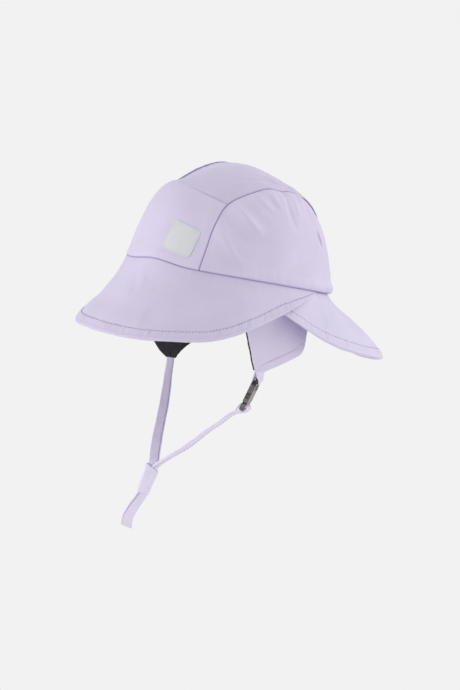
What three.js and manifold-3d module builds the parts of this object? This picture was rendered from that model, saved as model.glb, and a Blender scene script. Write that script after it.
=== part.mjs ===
import * as THREE from 'three';
import { LoftGeometry } from 'three/addons/geometries/LoftGeometry.js';
import { mergeVertices } from 'three/addons/utils/BufferGeometryUtils.js';
import Module from 'manifold-3d';

// A small child's rain hat in the form it has on a head: a four-panel crown, a bell-shaped front
// brim, a neck flap, two ear flaps lined with fleece, and a chin strap with a small clip.
// Sizes are in mm. +Z is up, -Y is forward and +X is towards the wearer's left.
// The origin is the middle of the head opening, where crown and brim are sewn together.

const wasm = await Module();
wasm.setup();

const { sin, cos, tan, sqrt, exp } = Math;
const { degToRad, lerp, clamp } = THREE.MathUtils;
const vec = (x, y, z) => new THREE.Vector3(x, y, z);

// head opening: an ellipse whose edge rises a little over the ears
const bandHalfLength = 91;
const bandHalfWidth = 76;
const bandArch = 1.8;
// the whole hat sits with its front up by this much
const hatPitch = degToRad(13.5);

// the crown is this high and sinks towards the wearer's left by this angle at its top
const crownHeight = 92;
const crownLean = tan(degToRad(8));

// cloth thicknesses, and the gap that is left between neighbouring pieces
const crownWall = 2;
const brimWall = 1.6;
const flapWall = 1;
const liningWall = 1.5;
const gap = 0.3;

// how far the outer face of each layer lies inside the crown's bottom edge
const brimInset = 0.4;
const neckInset = crownWall + gap;
const earInset = neckInset + brimWall + gap;

// Crown, from its front edge at v = 0 over the top to its back edge at v = 1: the arched seam
// between the middle strip and a side panel (seamX, seamY, seamZ), the middle line of the strip
// (midY, midZ), and the angle round the band, from the front, where the side panel's thread
// line ends (foot).
const crownStations = [
  { v: 0.00, seamX: 55.6, seamY: -62.1, seamZ: 0.0, midY: -91.0, midZ: 0.0, foot: 47 },
  { v: 0.12, seamX: 52.5, seamY: -61.0, seamZ: 21.0, midY: -86.0, midZ: 28.0, foot: 51 },
  { v: 0.24, seamX: 48.8, seamY: -55.5, seamZ: 43.5, midY: -79.0, midZ: 51.0, foot: 56 },
  { v: 0.34, seamX: 43.2, seamY: -44.8, seamZ: 60.7, midY: -68.0, midZ: 67.0, foot: 63 },
  { v: 0.46, seamX: 43.8, seamY: -21.0, seamZ: 76.5, midY: -32.5, midZ: 85.3, foot: 76 },
  { v: 0.58, seamX: 44.6, seamY: 6.4, seamZ: 83.0, midY: 2.6, midZ: 91.0, foot: 90 },
  { v: 0.70, seamX: 41.8, seamY: 32.1, seamZ: 75.3, midY: 37.4, midZ: 82.6, foot: 108 },
  { v: 0.82, seamX: 37.8, seamY: 54.5, seamZ: 55.0, midY: 64.8, midZ: 65.0, foot: 128 },
  { v: 0.92, seamX: 36.0, seamY: 72.0, seamZ: 24.5, midY: 83.0, midZ: 35.0, foot: 145 },
  { v: 1.00, seamX: 33.3, seamY: 81.8, seamZ: 0.0, midY: 91.0, midZ: 0.0, foot: 154 },
];
// the front panel ends and the top strip starts at this station
const cornerStation = 0.34;
// a side panel starts and ends this far from the stations' ends, where it comes to a point
const sideStart = 0.008;
const sideEnd = 0.996;

// folds of the side panels, radiating from the arched seam: where each leaves the seam, how far
// it drifts back per unit of w, where it starts and ends down the panel, its width and its rise
const sideFolds = [
  { v: 0.25, drift: 0.26, from: 0.03, to: 0.75, width: 0.032, rise: 1.5 },
  { v: 0.38, drift: 0.28, from: 0.02, to: 0.60, width: 0.032, rise: 1.6 },
  { v: 0.66, drift: 0.08, from: 0.02, to: 0.50, width: 0.032, rise: 1.0 },
];

// Front brim by angle round the band from the front: length, slope where it leaves the seam
// and slope at its hem, both in degrees below the level. Left and right are alike.
const frontBrim = mirrored(0, [
  { angle: 0, length: 68, root: 78, hem: 50 },
  { angle: 30, length: 68.5, root: 77, hem: 48 },
  { angle: 60, length: 59, root: 73, hem: 47 },
  { angle: 85, length: 30, root: 71, hem: 52 },
  { angle: 100, length: 15, root: 66, hem: 54 },
  { angle: 112, length: 1, root: 64, hem: 56 },
]);
// Neck flap, with the same columns; its angles run on round the back.
const neckFlap = mirrored(180, [
  { angle: 78, length: 8, root: 84, hem: 80 },
  { angle: 95, length: 27, root: 80, hem: 68 },
  { angle: 112, length: 42, root: 66, hem: 58 },
  { angle: 135, length: 57, root: 43, hem: 51 },
  { angle: 155, length: 69, root: 28, hem: 48 },
  { angle: 180, length: 78, root: 25, hem: 51 },
]);

// table by angle, with its rows repeated in mirror image on the other side of its middle row
function mirrored(middle, rows) {
  const others = rows.filter((row) => row.angle !== middle)
    .map((row) => ({ ...row, angle: 2 * middle - row.angle }));
  return [...rows, ...others].sort((a, b) => a.angle - b.angle);
}

// Ear flaps: front and back edge at each height below the band. The lower end of each flap
// stands earReach out from the middle and turns outwards towards its back by earTurn.
const leftEar = [
  { z: -0.3, front: -30, back: 42 },
  { z: -20, front: -24, back: 42 },
  { z: -35, front: -17, back: 41.5 },
  { z: -48, front: -10, back: 40 },
  { z: -56, front: -5.5, back: 33 },
  { z: -63, front: -2, back: 21 },
  { z: -68, front: 1, back: 13 },
  { z: -70, front: 2, back: 10.5 },
];
const rightEar = [
  { z: -0.3, front: -34, back: 42 },
  { z: -20, front: -31, back: 42 },
  { z: -38, front: -28, back: 41.5 },
  { z: -54, front: -27, back: 36 },
  { z: -66, front: -25, back: 19 },
  { z: -73, front: -18, back: 10 },
  { z: -78, front: -11, back: 5 },
  { z: -80, front: -7, back: 3.5 },
];
const earReach = 61.5;
const earTurn = 0.24;

// reflective patch on the front panel, towards the wearer's left
const patchSide = 24;
const patchCorner = 3;
const patchWall = 1;
const patchStation = 0.112;
const patchAcross = 0.655;
// it is sewn on level but for this turn
const patchTilt = degToRad(-6);

// chin strap of folded cloth, the shorter tape that holds the clip, and the sleeve round both
const strapWidth = 9;
const strapWall = 1.3;
const tapeWidth = 8;
const tapeWall = 1;
const sleeveWidth = 12;
const sleeveDepth = 5.6;
const sleeveWall = 1;
// the tail of the strap is cut at a slant, this much longer on one side
const tailSlant = 2.6;

const sleeveTop = vec(-4, -72.5, -155.5);
const sleeveBottom = vec(-8, -79.9, -177.3);

// the clip: its top middle, the way its bars lie, and the way down its length
const clipTop = vec(60, -11.3, -78.3);
const clipAcross = vec(-0.643, 0.766, 0.024);
const clipDown = vec(-0.349, -0.264, -0.899);

// paths of the straps: points on their middle line, and how far each has turned from lying
// along the first piece it joins (0) to lying along the second (1)
const rightStrapPath = [
  { x: -59.6, y: -20.4, z: -78.5, turn: 0 },
  { x: -57.5, y: -23.5, z: -90.0, turn: 0.1 },
  { x: -51.0, y: -30.0, z: -104.0, turn: 0.3 },
  { x: -39.0, y: -41.0, z: -119.0, turn: 0.55 },
  { x: -24.0, y: -55.0, z: -134.5, turn: 0.8 },
  { x: -10.5, y: -66.0, z: -146.0, turn: 1 },
  { x: -5.0, y: -70.5, z: -152.2, turn: 1 },
  { x: -4.7, y: -72.1, z: -155.6, turn: 1 },
  { x: -6.0, y: -74.5, z: -162.8, turn: 1 },
  { x: -7.4, y: -77.0, z: -170.0, turn: 1 },
  { x: -8.6, y: -79.3, z: -176.8, turn: 1 },
];
const leftStrapPath = [
  { x: 46.1, y: -22.0, z: -106.0, turn: 0 },
  { x: 46.7, y: -21.7, z: -103.4, turn: 0 },
  { x: 47.7, y: -20.9, z: -100.9, turn: 0 },
  { x: 49.4, y: -19.5, z: -99.1, turn: 0 },
  { x: 51.8, y: -17.5, z: -99.5, turn: 0 },
  { x: 54.2, y: -15.5, z: -100.7, turn: 0 },
  { x: 55.4, y: -14.4, z: -101.8, turn: 0 },
  { x: 55.1, y: -14.6, z: -103.9, turn: 0 },
  { x: 52.9, y: -16.4, z: -106.0, turn: 0 },
  { x: 49.2, y: -19.6, z: -108.0, turn: 0 },
  { x: 45.0, y: -23.6, z: -109.4, turn: 0 },
  { x: 36.5, y: -35.1, z: -116.6, turn: 0 },
  { x: 29.0, y: -43.4, z: -124.8, turn: 0.05 },
  { x: 21.0, y: -51.3, z: -134.0, turn: 0.15 },
  { x: 13.0, y: -59.4, z: -141.9, turn: 0.2 },
  { x: 6.0, y: -65.4, z: -147.6, turn: 0.45 },
  { x: 0.6, y: -70.2, z: -151.9, turn: 0.85 },
  { x: -3.3, y: -73.0, z: -155.6, turn: 1 },
  { x: -4.6, y: -75.4, z: -162.8, turn: 1 },
  { x: -6.0, y: -77.9, z: -170.0, turn: 1 },
  { x: -7.3, y: -80.4, z: -177.4, turn: 1 },
  { x: -9.6, y: -88.6, z: -189.6, turn: 1 },
  { x: -10.9, y: -92.6, z: -197.4, turn: 0.98 },
  { x: -12.0, y: -93.1, z: -205.1, turn: 0.95 },
];
// the tape leaves the ear flap, passes under the clip's top bar and comes back; along and out
// are measured up the clip and outwards through its thickness
const clipTapePath = [
  { along: 6.8, out: -2.9, turn: 0 },
  { along: 4.8, out: -3.2, turn: 0.35 },
  { along: 2, out: -3.5, turn: 0.75 },
  { along: -1.2, out: -3.1, turn: 1 },
  { along: -3.4, out: -1.4, turn: 1 },
  { along: -3.5, out: 0.9, turn: 1 },
  { along: -1.2, out: 2.9, turn: 1 },
  { along: 2, out: 3, turn: 0.75 },
  { along: 4.8, out: 0.6, turn: 0.35 },
  { along: 6.8, out: -1.5, turn: 0 },
];

// clip sizes: x lies along its bars, y up its length from the top edge, z through its thickness
const clipWidth = 15.5;
const clipDepth = 4.6;
const socketLength = 19.8;
const plugTop = -20.1;
const plugLength = 6.9;
const slotHalf = 5.2;
const barRadius = 1.2;
const cavityHalf = 6.2;
const cavityDepth = 2.8;
const prongDepth = 2.2;
const edgeRound = 0.5;

// colours, seen as cloth coated with a soft matt film
const lavender = { color: 0xcdc4dc, roughness: 0.62, metalness: 0 };
const lavenderLight = { color: 0xd9d2e5, roughness: 0.62, metalness: 0 };
const fleece = { color: 0x333037, roughness: 0.95, metalness: 0 };
const silver = { color: 0xcfd0d5, roughness: 0.45, metalness: 0.2 };
const darkPlastic = { color: 0x645c5f, roughness: 0.5, metalness: 0 };

// smooth value of one column of a table, at a place given in its key column
function column(table, key, name, place) {
  const last = table.length - 1;
  const span = (i) => table[i + 1][key] - table[i][key];
  const secant = (i) => (table[i + 1][name] - table[i][name]) / span(i);
  const slope = (i) => {
    if (i === 0) return secant(0);
    if (i === last) return secant(last - 1);
    return (secant(i) * span(i - 1) + secant(i - 1) * span(i)) / (span(i - 1) + span(i));
  };
  let i = 0;
  const rising = table[last][key] > table[0][key];
  while (i < last - 1 && (rising ? place > table[i + 1][key] : place < table[i + 1][key])) i += 1;
  const t = clamp((place - table[i][key]) / span(i), 0, 1);
  const a = table[i][name];
  const b = table[i + 1][name];
  const rise = a + (b - a) * t * t * (3 - 2 * t);
  return rise + span(i) * t * (1 - t) * ((1 - t) * slope(i) - t * slope(i + 1));
}

// evenly spaced numbers from a to b
const spread = (a, b, steps) => Array.from({ length: steps + 1 }, (_, i) => lerp(a, b, i / steps));

// signed volume, to tell which way a closed surface faces
function volume(geometry) {
  const index = geometry.index.array;
  const corner = (i) => vec().fromBufferAttribute(geometry.attributes.position, index[i]);
  let sum = 0;
  for (let i = 0; i < index.length; i += 3) {
    sum += corner(i).dot(corner(i + 1).cross(corner(i + 2)));
  }
  return sum / 6;
}

// closed solid through a row of closed rings, facing outwards
function loft(rings, capped = true) {
  const ends = { closed: true, capStart: capped, capEnd: capped };
  const geometry = new LoftGeometry(rings, ends);
  if (volume(geometry) > 0) return geometry;
  return new LoftGeometry(rings.map((ring) => ring.slice().reverse()), ends);
}

// closed wall of cloth: point(i, j, depth) is a point of its face (depth 0) or back (depth 1);
// the wall's first and last rows close on the line half way through it
function cloth(rows, columns, point) {
  const ring = (i, face, back) => [
    ...columns.map((j) => point(i, j, face)),
    ...columns.slice().reverse().map((j) => point(i, j, back)),
  ];
  return loft([
    ring(rows[0], 0.5, 0.5),
    ...rows.map((i) => ring(i, 0, 1)),
    ring(rows[rows.length - 1], 0.5, 0.5),
  ], false);
}

// point on the head opening, its outward direction, and its rise over the ears
function bandPoint(degrees, inset = 0) {
  const angle = degToRad(degrees);
  const outward = vec(sin(angle) / bandHalfWidth, -cos(angle) / bandHalfLength, 0).normalize();
  const point = vec(bandHalfWidth * sin(angle), -bandHalfLength * cos(angle), 0);
  return { point: point.addScaledVector(outward, -inset), outward };
}
const archAt = (x) => bandArch * (x / bandHalfWidth) ** 2;

// crown point as sewn, moved to where it hangs: raised over the ears, then leaned to one side
function settle(p) {
  const lean = crownLean * p.z / crownHeight;
  const z = p.z + archAt(p.x) * (1 - p.z / crownHeight);
  return vec(p.x + z * lean * 0.5, p.y, z - p.x * lean);
}

// direction through the crown's wall, the same for panels that meet at a seam
const wallDirection = (p) =>
  vec(p.x / bandHalfWidth ** 2, p.y / bandHalfLength ** 2, p.z / crownHeight ** 2).normalize();

const crownColumn = (name, v) => column(crownStations, 'v', name, v);

// front panel and top strip: v along, c across from the right seam (-1) to the left seam (1)
function middlePoint(v, c, depth) {
  const toSeam = c * c;
  const p = settle(vec(
    crownColumn('seamX', v) * c,
    lerp(crownColumn('midY', v), crownColumn('seamY', v), toSeam),
    lerp(crownColumn('midZ', v), crownColumn('seamZ', v), toSeam),
  ));
  return p.addScaledVector(wallDirection(p), -crownWall * depth);
}

// height of the side panel's folds above its plain surface
function foldRise(v, w) {
  let rise = 0;
  for (const fold of sideFolds) {
    const run = clamp((w - fold.from) / (fold.to - fold.from), 0, 1);
    const across = (v - fold.v - fold.drift * w) / fold.width;
    rise += fold.rise * sin(Math.PI * run) * exp(-across * across);
  }
  return rise;
}

// side panel: v along the arched seam, w from just beside the seam (0) down to the band (1)
function sidePoint(side, v, w, depth) {
  const seam = vec(crownColumn('seamX', v), crownColumn('seamY', v), crownColumn('seamZ', v));
  const foot = bandPoint(crownColumn('foot', v)).point;
  const shoulder = vec(foot.x * 0.985, foot.y * 0.985, seam.z * 0.86);
  const start = gap / (4 * seam.distanceTo(shoulder));
  const t = lerp(start, 1, w);
  const p = vec(0, 0, 0)
    .addScaledVector(seam, (1 - t) ** 2)
    .addScaledVector(shoulder, 2 * t * (1 - t))
    .addScaledVector(foot, t * t);
  p.x *= side;
  const q = settle(p);
  return q.addScaledVector(wallDirection(q), foldRise(v, t) - crownWall * depth);
}

// brim or neck flap: angle round the band, w from the seam (0) to the hem (1)
function brimPoint(table, angle, w, inset, depth) {
  const length = column(table, 'angle', 'length', angle);
  const root = degToRad(column(table, 'angle', 'root', angle));
  const turn = degToRad(column(table, 'angle', 'hem', angle)) - root;
  const slope = root + turn * w;
  const bend = Math.abs(turn) > 1e-4 ? turn : 1e-4;
  const out = length * (sin(root + bend * w) - sin(root)) / bend;
  const down = length * (cos(root) - cos(root + bend * w)) / bend;
  const { point, outward } = bandPoint(angle, inset);
  point.z = archAt(point.x) - gap - down - brimWall * depth * cos(slope);
  return point.addScaledVector(outward, out - brimWall * depth * sin(slope));
}

// ear flap: s from the band (0) to its lower end (1), f from its front edge to its back edge
function earPoint(table, side, s, f, depth) {
  const z = lerp(table[0].z, table[table.length - 1].z, s);
  const y = lerp(column(table, 'z', 'front', z), column(table, 'z', 'back', z), f);
  const width = bandHalfWidth - earInset;
  const length = bandHalfLength - earInset;
  const level = sqrt(1 - (y / length) ** 2);
  const x = lerp(width * level, earReach + earTurn * y, s);
  const slope = lerp(-width * y / (length ** 2 * level), earTurn, s);
  const across = vec(1, -slope, 0).normalize();
  const p = vec(x, y, z + archAt(x) * (1 - s)).addScaledVector(across, -depth);
  p.x *= side;
  return p;
}

// patch: a and b are mm across and up from its middle, out is its distance from the panel
const patchMiddle = middlePoint(patchStation, patchAcross, 0);
const alongPanel = middlePoint(patchStation + 0.01, patchAcross, 0).sub(patchMiddle);
const acrossPanel = middlePoint(patchStation, patchAcross + 0.01, 0).sub(patchMiddle);
const patchOut = acrossPanel.clone().cross(alongPanel).normalize();
const patchLevel = vec(0, 0, 1).cross(patchOut).normalize().applyAxisAngle(patchOut, patchTilt);
const patchUp = patchOut.clone().cross(patchLevel);
function patchPoint(a, b, out) {
  const move = vec(0, 0, 0).addScaledVector(patchLevel, a).addScaledVector(patchUp, b);
  const alongSquare = alongPanel.lengthSq();
  const acrossSquare = acrossPanel.lengthSq();
  const skew = alongPanel.dot(acrossPanel);
  const area = (alongSquare * acrossSquare - skew * skew) / 0.01;
  const v = (move.dot(alongPanel) * acrossSquare - move.dot(acrossPanel) * skew) / area;
  const c = (move.dot(acrossPanel) * alongSquare - move.dot(alongPanel) * skew) / area;
  const p = middlePoint(patchStation + v, patchAcross + c, 0);
  return p.addScaledVector(wallDirection(p), out);
}

// flat band along a path, its width turning from one direction to another
function ribbon(path, width, wall, first, second, slant = 0) {
  const curve = new THREE.CatmullRomCurve3(path.map((row) => vec(row.x, row.y, row.z)));
  curve.curveType = 'centripetal';
  const steps = (path.length - 1) * 2;
  return loft(spread(0, 1, steps).map((t) => {
    const place = t * (path.length - 1);
    const i = Math.min(Math.floor(place), path.length - 2);
    const turn = lerp(path[i].turn, path[i + 1].turn, place - i);
    const along = curve.getTangent(t);
    const across = first.clone().lerp(second, turn);
    across.addScaledVector(along, -across.dot(along)).normalize();
    const through = along.clone().cross(across);
    const cut = t === 1 ? slant / width : 0;
    return [[1, 1], [-1, 1], [-1, -1], [1, -1]].map(([a, b]) => curve.getPoint(t)
      .addScaledVector(across, a * width / 2)
      .addScaledVector(along, a * cut * width / 2)
      .addScaledVector(through, b * wall / 2));
  }));
}

function roundedRectangle(left, bottom, width, height, radius) {
  const right = left + width;
  const top = bottom + height;
  return new THREE.Shape()
    .moveTo(left + radius, bottom)
    .lineTo(right - radius, bottom)
    .quadraticCurveTo(right, bottom, right, bottom + radius)
    .lineTo(right, top - radius)
    .quadraticCurveTo(right, top, right - radius, top)
    .lineTo(left + radius, top)
    .quadraticCurveTo(left, top, left, top - radius)
    .lineTo(left, bottom + radius)
    .quadraticCurveTo(left, bottom, left + radius, bottom);
}

// closed geometry as a solid that can be joined and cut, and back again
function solidOf(geometry) {
  const bare = geometry.clone();
  bare.deleteAttribute('normal');
  bare.deleteAttribute('uv');
  const merged = mergeVertices(bare, 1e-4);
  return new wasm.Manifold(new wasm.Mesh({
    numProp: 3,
    vertProperties: merged.attributes.position.array,
    triVerts: new Uint32Array(merged.index.array),
  }));
}
function geometryOf(solid) {
  const mesh = solid.getMesh();
  const geometry = new THREE.BufferGeometry();
  geometry.setAttribute('position', new THREE.BufferAttribute(mesh.vertProperties, 3));
  geometry.setIndex(new THREE.BufferAttribute(mesh.triVerts, 1));
  geometry.computeVertexNormals();
  return geometry;
}

// flat shape made thick evenly about z = 0
function plate(shape, depth, round = 0) {
  const geometry = new THREE.ExtrudeGeometry(shape, {
    depth: depth - 2 * round,
    bevelEnabled: round > 0,
    bevelThickness: round,
    bevelSize: round,
    bevelOffset: -round,
    bevelSegments: 2,
    curveSegments: 4,
  });
  return geometry.translate(0, 0, round - depth / 2);
}
const block = (x0, x1, y0, y1, z0, z1) => new THREE.BoxGeometry(x1 - x0, y1 - y0, z1 - z0)
  .translate((x0 + x1) / 2, (y0 + y1) / 2, (z0 + z1) / 2);

// outer half of the clip, with the bar that the ear flap's tape goes round
function clipSocket() {
  const shell = roundedRectangle(-clipWidth / 2, -socketLength, clipWidth, socketLength, 2.4);
  const bar = new THREE.CylinderGeometry(barRadius, barRadius, 2 * slotHalf + 1, 12)
    .rotateZ(Math.PI / 2).translate(0, -barRadius, 0);
  // rounded cover on the outer side
  const coverShape = roundedRectangle(-6.9, -19.2, 13.8, 12.4, 2);
  const cover = new THREE.ExtrudeGeometry(coverShape, { depth: 2, bevelEnabled: false, curveSegments: 4 })
    .translate(0, 0, clipDepth / 2 - 0.4);
  const coverRound = new THREE.CylinderGeometry(26, 26, 30, 96)
    .translate(0, -12, clipDepth / 2 + 0.9 - 26);
  const cavityHeight = cavityDepth / 2;
  return geometryOf(solidOf(plate(shell, clipDepth, edgeRound))
    .add(solidOf(cover).intersect(solidOf(coverRound)))
    .subtract(solidOf(block(-slotHalf, slotHalf, -5.6, 1, -3, 3)))
    .subtract(solidOf(block(
      -cavityHalf, cavityHalf, -socketLength - 1, -8.4, -cavityHeight, cavityHeight)))
    .subtract(solidOf(block(-9, 9, -14.6, -10, -cavityHeight, cavityHeight)))
    .add(solidOf(bar)));
}

// inner half of the clip: a base with a strap slot, a guide and two sprung prongs
function clipPlug() {
  const base = roundedRectangle(
    -clipWidth / 2, plugTop - plugLength, clipWidth, plugLength, 1.6);
  base.holes.push(roundedRectangle(-slotHalf, plugTop - 4.9, 2 * slotHalf, 2.8, 0.5));
  const guide = roundedRectangle(-1.3, plugTop - 1, 2.6, 12, 1.1);
  const prongOutline = [
    [3.2, plugTop - 1], [5.6, plugTop - 1], [5.7, -15.0], [5.8, -14.3], [7.4, -13.9], [7.4, -12.4],
    [5.9, -10.4], [5.0, -9.4], [4.2, -10.2], [3.9, -13.0],
  ];
  const prong = (side) => new THREE.Shape(
    prongOutline.map(([x, y]) => new THREE.Vector2(side * x, y)));
  return geometryOf(solidOf(plate(base, clipDepth - 0.4, edgeRound))
    .add(solidOf(plate(guide, prongDepth)))
    .add(solidOf(plate(prong(1), prongDepth)))
    .add(solidOf(plate(prong(-1), prongDepth))));
}

// sleeve that both straps run through, its length along z
function sleeve(length) {
  const shape = roundedRectangle(
    -sleeveWidth / 2, -sleeveDepth / 2, sleeveWidth, sleeveDepth, 1.6);
  shape.holes.push(roundedRectangle(
    sleeveWall - sleeveWidth / 2, sleeveWall - sleeveDepth / 2,
    sleeveWidth - 2 * sleeveWall, sleeveDepth - 2 * sleeveWall, 0.8));
  return new THREE.ExtrudeGeometry(shape, {
    depth: length, bevelEnabled: false, curveSegments: 4, steps: 1,
  });
}

function piece(name, geometry, look) {
  const mesh = new THREE.Mesh(geometry, new THREE.MeshStandardMaterial(look));
  mesh.name = name;
  return mesh;
}

// crown panels, each kept back from its seams by half the gap
const seamBack = 0.5 * gap / 300;
const acrossBack = 1 - 0.5 * gap / 45;
const across = spread(-acrossBack, acrossBack, 12);
const frontPanel = cloth(spread(0, cornerStation - seamBack, 9), across, middlePoint);
const topPanel = cloth(spread(cornerStation + seamBack, 1, 17), across, middlePoint);
// (rows and columns change places from left to right, so that on both sides the edges of the
// small faces run along the folds)
const runs = spread(sideStart, sideEnd, 38);
const drops = spread(0, 1, 10);
const leftPanel = cloth(drops, runs, (w, v, depth) => sidePoint(1, v, w, depth));
const rightPanel = cloth(runs, drops, (v, w, depth) => sidePoint(-1, v, w, depth));

// brim and neck flap
const brim = cloth(spread(-112, 112, 42), spread(0, 1, 6),
  (angle, w, depth) => brimPoint(frontBrim, angle, w, brimInset, depth));
const neck = cloth(spread(79, 281, 34), spread(0, 1, 6),
  (angle, w, depth) => brimPoint(neckFlap, angle, w, neckInset, depth));

// ear flap and its lining, one behind the other
const earLayer = (table, side, start, wall) => cloth(spread(0, 1, 12), spread(0, 1, 6),
  (s, f, depth) => earPoint(table, side, s, f, start + wall * depth));
const ear = (table, side) => earLayer(table, side, 0, flapWall);
const earLining = (table, side) => earLayer(table, side, flapWall + gap, liningWall);

// patch: rows of one rounded square, each as wide as the square is there
const patchHalf = patchSide / 2;
const patchRows = [0, 0.4, 1.4, 3, 9, 15, 21, 22.6, 23.6, 24];
const patch = cloth(patchRows.map((b) => b - patchHalf), spread(-1, 1, 6), (b, a, depth) => {
  const intoCorner = Math.max(0, Math.abs(b) - (patchHalf - patchCorner));
  const half = patchHalf - patchCorner + sqrt(Math.max(0.04, patchCorner ** 2 - intoCorner ** 2));
  return patchPoint(a * half, b, gap + patchWall * (1 - depth));
});

// everything that is sewn round the band is pitched with it
const worn = new THREE.Group();
worn.rotation.x = -hatPitch;
worn.add(
  piece('crown_front_panel', frontPanel, lavenderLight),
  piece('crown_top_panel', topPanel, lavender),
  piece('crown_side_panel_left', leftPanel, lavenderLight),
  piece('crown_side_panel_right', rightPanel, lavenderLight),
  piece('front_brim', brim, lavender),
  piece('neck_flap', neck, lavenderLight),
  piece('ear_flap_left', ear(leftEar, 1), lavender),
  piece('ear_flap_right', ear(rightEar, -1), lavender),
  piece('ear_lining_left', earLining(leftEar, 1), fleece),
  piece('ear_lining_right', earLining(rightEar, -1), fleece),
  piece('reflective_patch', patch, silver),
);

// clip: x across, y up, z outwards
const clip = new THREE.Group();
const clipOut = clipDown.clone().cross(clipAcross).normalize();
const clipUp = clipOut.clone().cross(clipAcross).normalize();
clip.applyMatrix4(new THREE.Matrix4()
  .makeBasis(clipUp.clone().cross(clipOut), clipUp, clipOut).setPosition(clipTop));
clip.add(
  piece('clip_socket', clipSocket(), darkPlastic),
  piece('clip_plug', clipPlug(), darkPlastic),
);

// sleeve: x across, z down its length
const sleeveDown = sleeveBottom.clone().sub(sleeveTop).normalize();
const sleeveAcross = vec(0.5446, 0.8387, 0);
sleeveAcross.addScaledVector(sleeveDown, -sleeveAcross.dot(sleeveDown)).normalize();
const keeper = piece('strap_keeper', sleeve(sleeveTop.distanceTo(sleeveBottom)), lavender);
keeper.applyMatrix4(new THREE.Matrix4()
  .makeBasis(sleeveAcross, sleeveDown.clone().cross(sleeveAcross), sleeveDown)
  .setPosition(sleeveTop));

// lower edges of the ear flaps, which the straps lie along where they start
const earEdge = (side) => vec(side * earTurn, 1, 0).normalize()
  .applyAxisAngle(vec(1, 0, 0), -hatPitch);
const tapePath = clipTapePath.map(({ along, out, turn }) => {
  const p = clipTop.clone().addScaledVector(clipUp, along).addScaledVector(clipOut, out);
  return { x: p.x, y: p.y, z: p.z, turn };
});

const rainHat = new THREE.Group();
rainHat.add(
  worn,
  clip,
  keeper,
  piece('clip_tape', ribbon(tapePath, tapeWidth, tapeWall, earEdge(1), clipAcross), lavender),
  piece('chin_strap_left',
    ribbon(leftStrapPath, strapWidth, strapWall, clipAcross, sleeveAcross, tailSlant), lavender),
  piece('chin_strap_right',
    ribbon(rightStrapPath, strapWidth, strapWall, earEdge(-1), sleeveAcross), lavender),
);

export default rainHat;
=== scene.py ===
from math import cos, pi, radians, sin, tan

import bpy
import numpy as np
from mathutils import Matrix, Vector


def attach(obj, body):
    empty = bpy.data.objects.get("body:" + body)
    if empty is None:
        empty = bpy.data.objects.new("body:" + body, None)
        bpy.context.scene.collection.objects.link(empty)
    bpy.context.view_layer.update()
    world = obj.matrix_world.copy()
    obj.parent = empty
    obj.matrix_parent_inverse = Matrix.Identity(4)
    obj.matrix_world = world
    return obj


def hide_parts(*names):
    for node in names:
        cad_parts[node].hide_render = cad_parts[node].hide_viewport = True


# Dressed model of a small child's rain hat: coated cloth panels with their seams, folds and
# topstitching, fleece behind the ear flaps, the chin strap and its clip.
# The pattern is drawn in mm and turned into metres when a mesh is made. +Z is up, -Y is forward
# and +X is towards the wearer's left.

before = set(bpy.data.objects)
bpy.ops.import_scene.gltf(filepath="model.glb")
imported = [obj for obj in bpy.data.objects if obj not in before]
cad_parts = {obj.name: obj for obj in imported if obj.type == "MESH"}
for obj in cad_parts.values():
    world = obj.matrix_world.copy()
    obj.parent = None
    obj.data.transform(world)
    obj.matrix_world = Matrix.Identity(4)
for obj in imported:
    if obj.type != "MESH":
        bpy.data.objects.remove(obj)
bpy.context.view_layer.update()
MM = 0.001
BODY = "root"


# camera

CAMERA_AZIMUTH, CAMERA_ELEVATION = radians(57), radians(11)


def make_camera():
    """Camera at the photograph's angle: from the wearer's front left and a little above."""
    azimuth, elevation = CAMERA_AZIMUTH, CAMERA_ELEVATION
    distance, mm_per_pixel, long_side_pixels = 2000, 0.83, 690
    aim_right, aim_up = 1.2, -58.6
    back = Vector((sin(azimuth) * cos(elevation), -cos(azimuth) * cos(elevation), sin(elevation)))
    right = Vector((cos(azimuth), sin(azimuth), 0))
    up = back.cross(right)
    data = bpy.data.cameras.new("camera")
    data.lens = data.sensor_width * distance / (mm_per_pixel * long_side_pixels)
    camera = bpy.data.objects.new("camera", data)
    camera.location = (right * aim_right + up * aim_up + back * distance) * MM
    camera.rotation_euler = (-back).to_track_quat("-Z", "Y").to_euler()
    bpy.context.scene.collection.objects.link(camera)
    bpy.context.scene.camera = camera


make_camera()


# the pattern's numbers

BAND_HALF_LENGTH, BAND_HALF_WIDTH, BAND_ARCH = 91, 76, 1.8
HAT_PITCH = radians(13.5)
CROWN_HEIGHT = 92
CROWN_LEAN = tan(radians(8))

CROWN_WALL, BRIM_WALL, FLAP_WALL, FLEECE_WALL = 1.1, 1.1, 0.9, 1.5
BRIM_INSET, NECK_INSET, EAR_INSET = 1.1, 2.4, 4.2
SEAM_GAP = 0.3

CROWN = {
    "v": (0, 0.12, 0.24, 0.34, 0.46, 0.58, 0.70, 0.82, 0.92, 1),
    "seam_x": (55.6, 52.5, 48.8, 43.2, 43.8, 44.6, 41.8, 37.8, 36.0, 33.3),
    "seam_y": (-62.1, -61.0, -55.5, -44.8, -21.0, 6.4, 32.1, 54.5, 72.0, 81.8),
    "seam_z": (0, 21.0, 43.5, 60.7, 76.5, 83.0, 75.3, 55.0, 24.5, 0),
    "mid_y": (-91.0, -86.0, -79.0, -68.0, -32.5, 2.6, 37.4, 64.8, 83.0, 91.0),
    "mid_z": (0, 28.0, 51.0, 67.0, 85.3, 91.0, 82.6, 65.0, 35.0, 0),
    "foot": (47, 51, 56, 63, 76, 90, 108, 128, 145, 154),
}
CORNER = 0.34


def mirrored(middle, table):
    """A table by angle, with its rows repeated in mirror image past its middle row."""
    rows = list(zip(*table.values()))
    rows += [(2 * middle - row[0], *row[1:]) for row in rows if row[0] != middle]
    return dict(zip(table, zip(*sorted(rows))))


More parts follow.
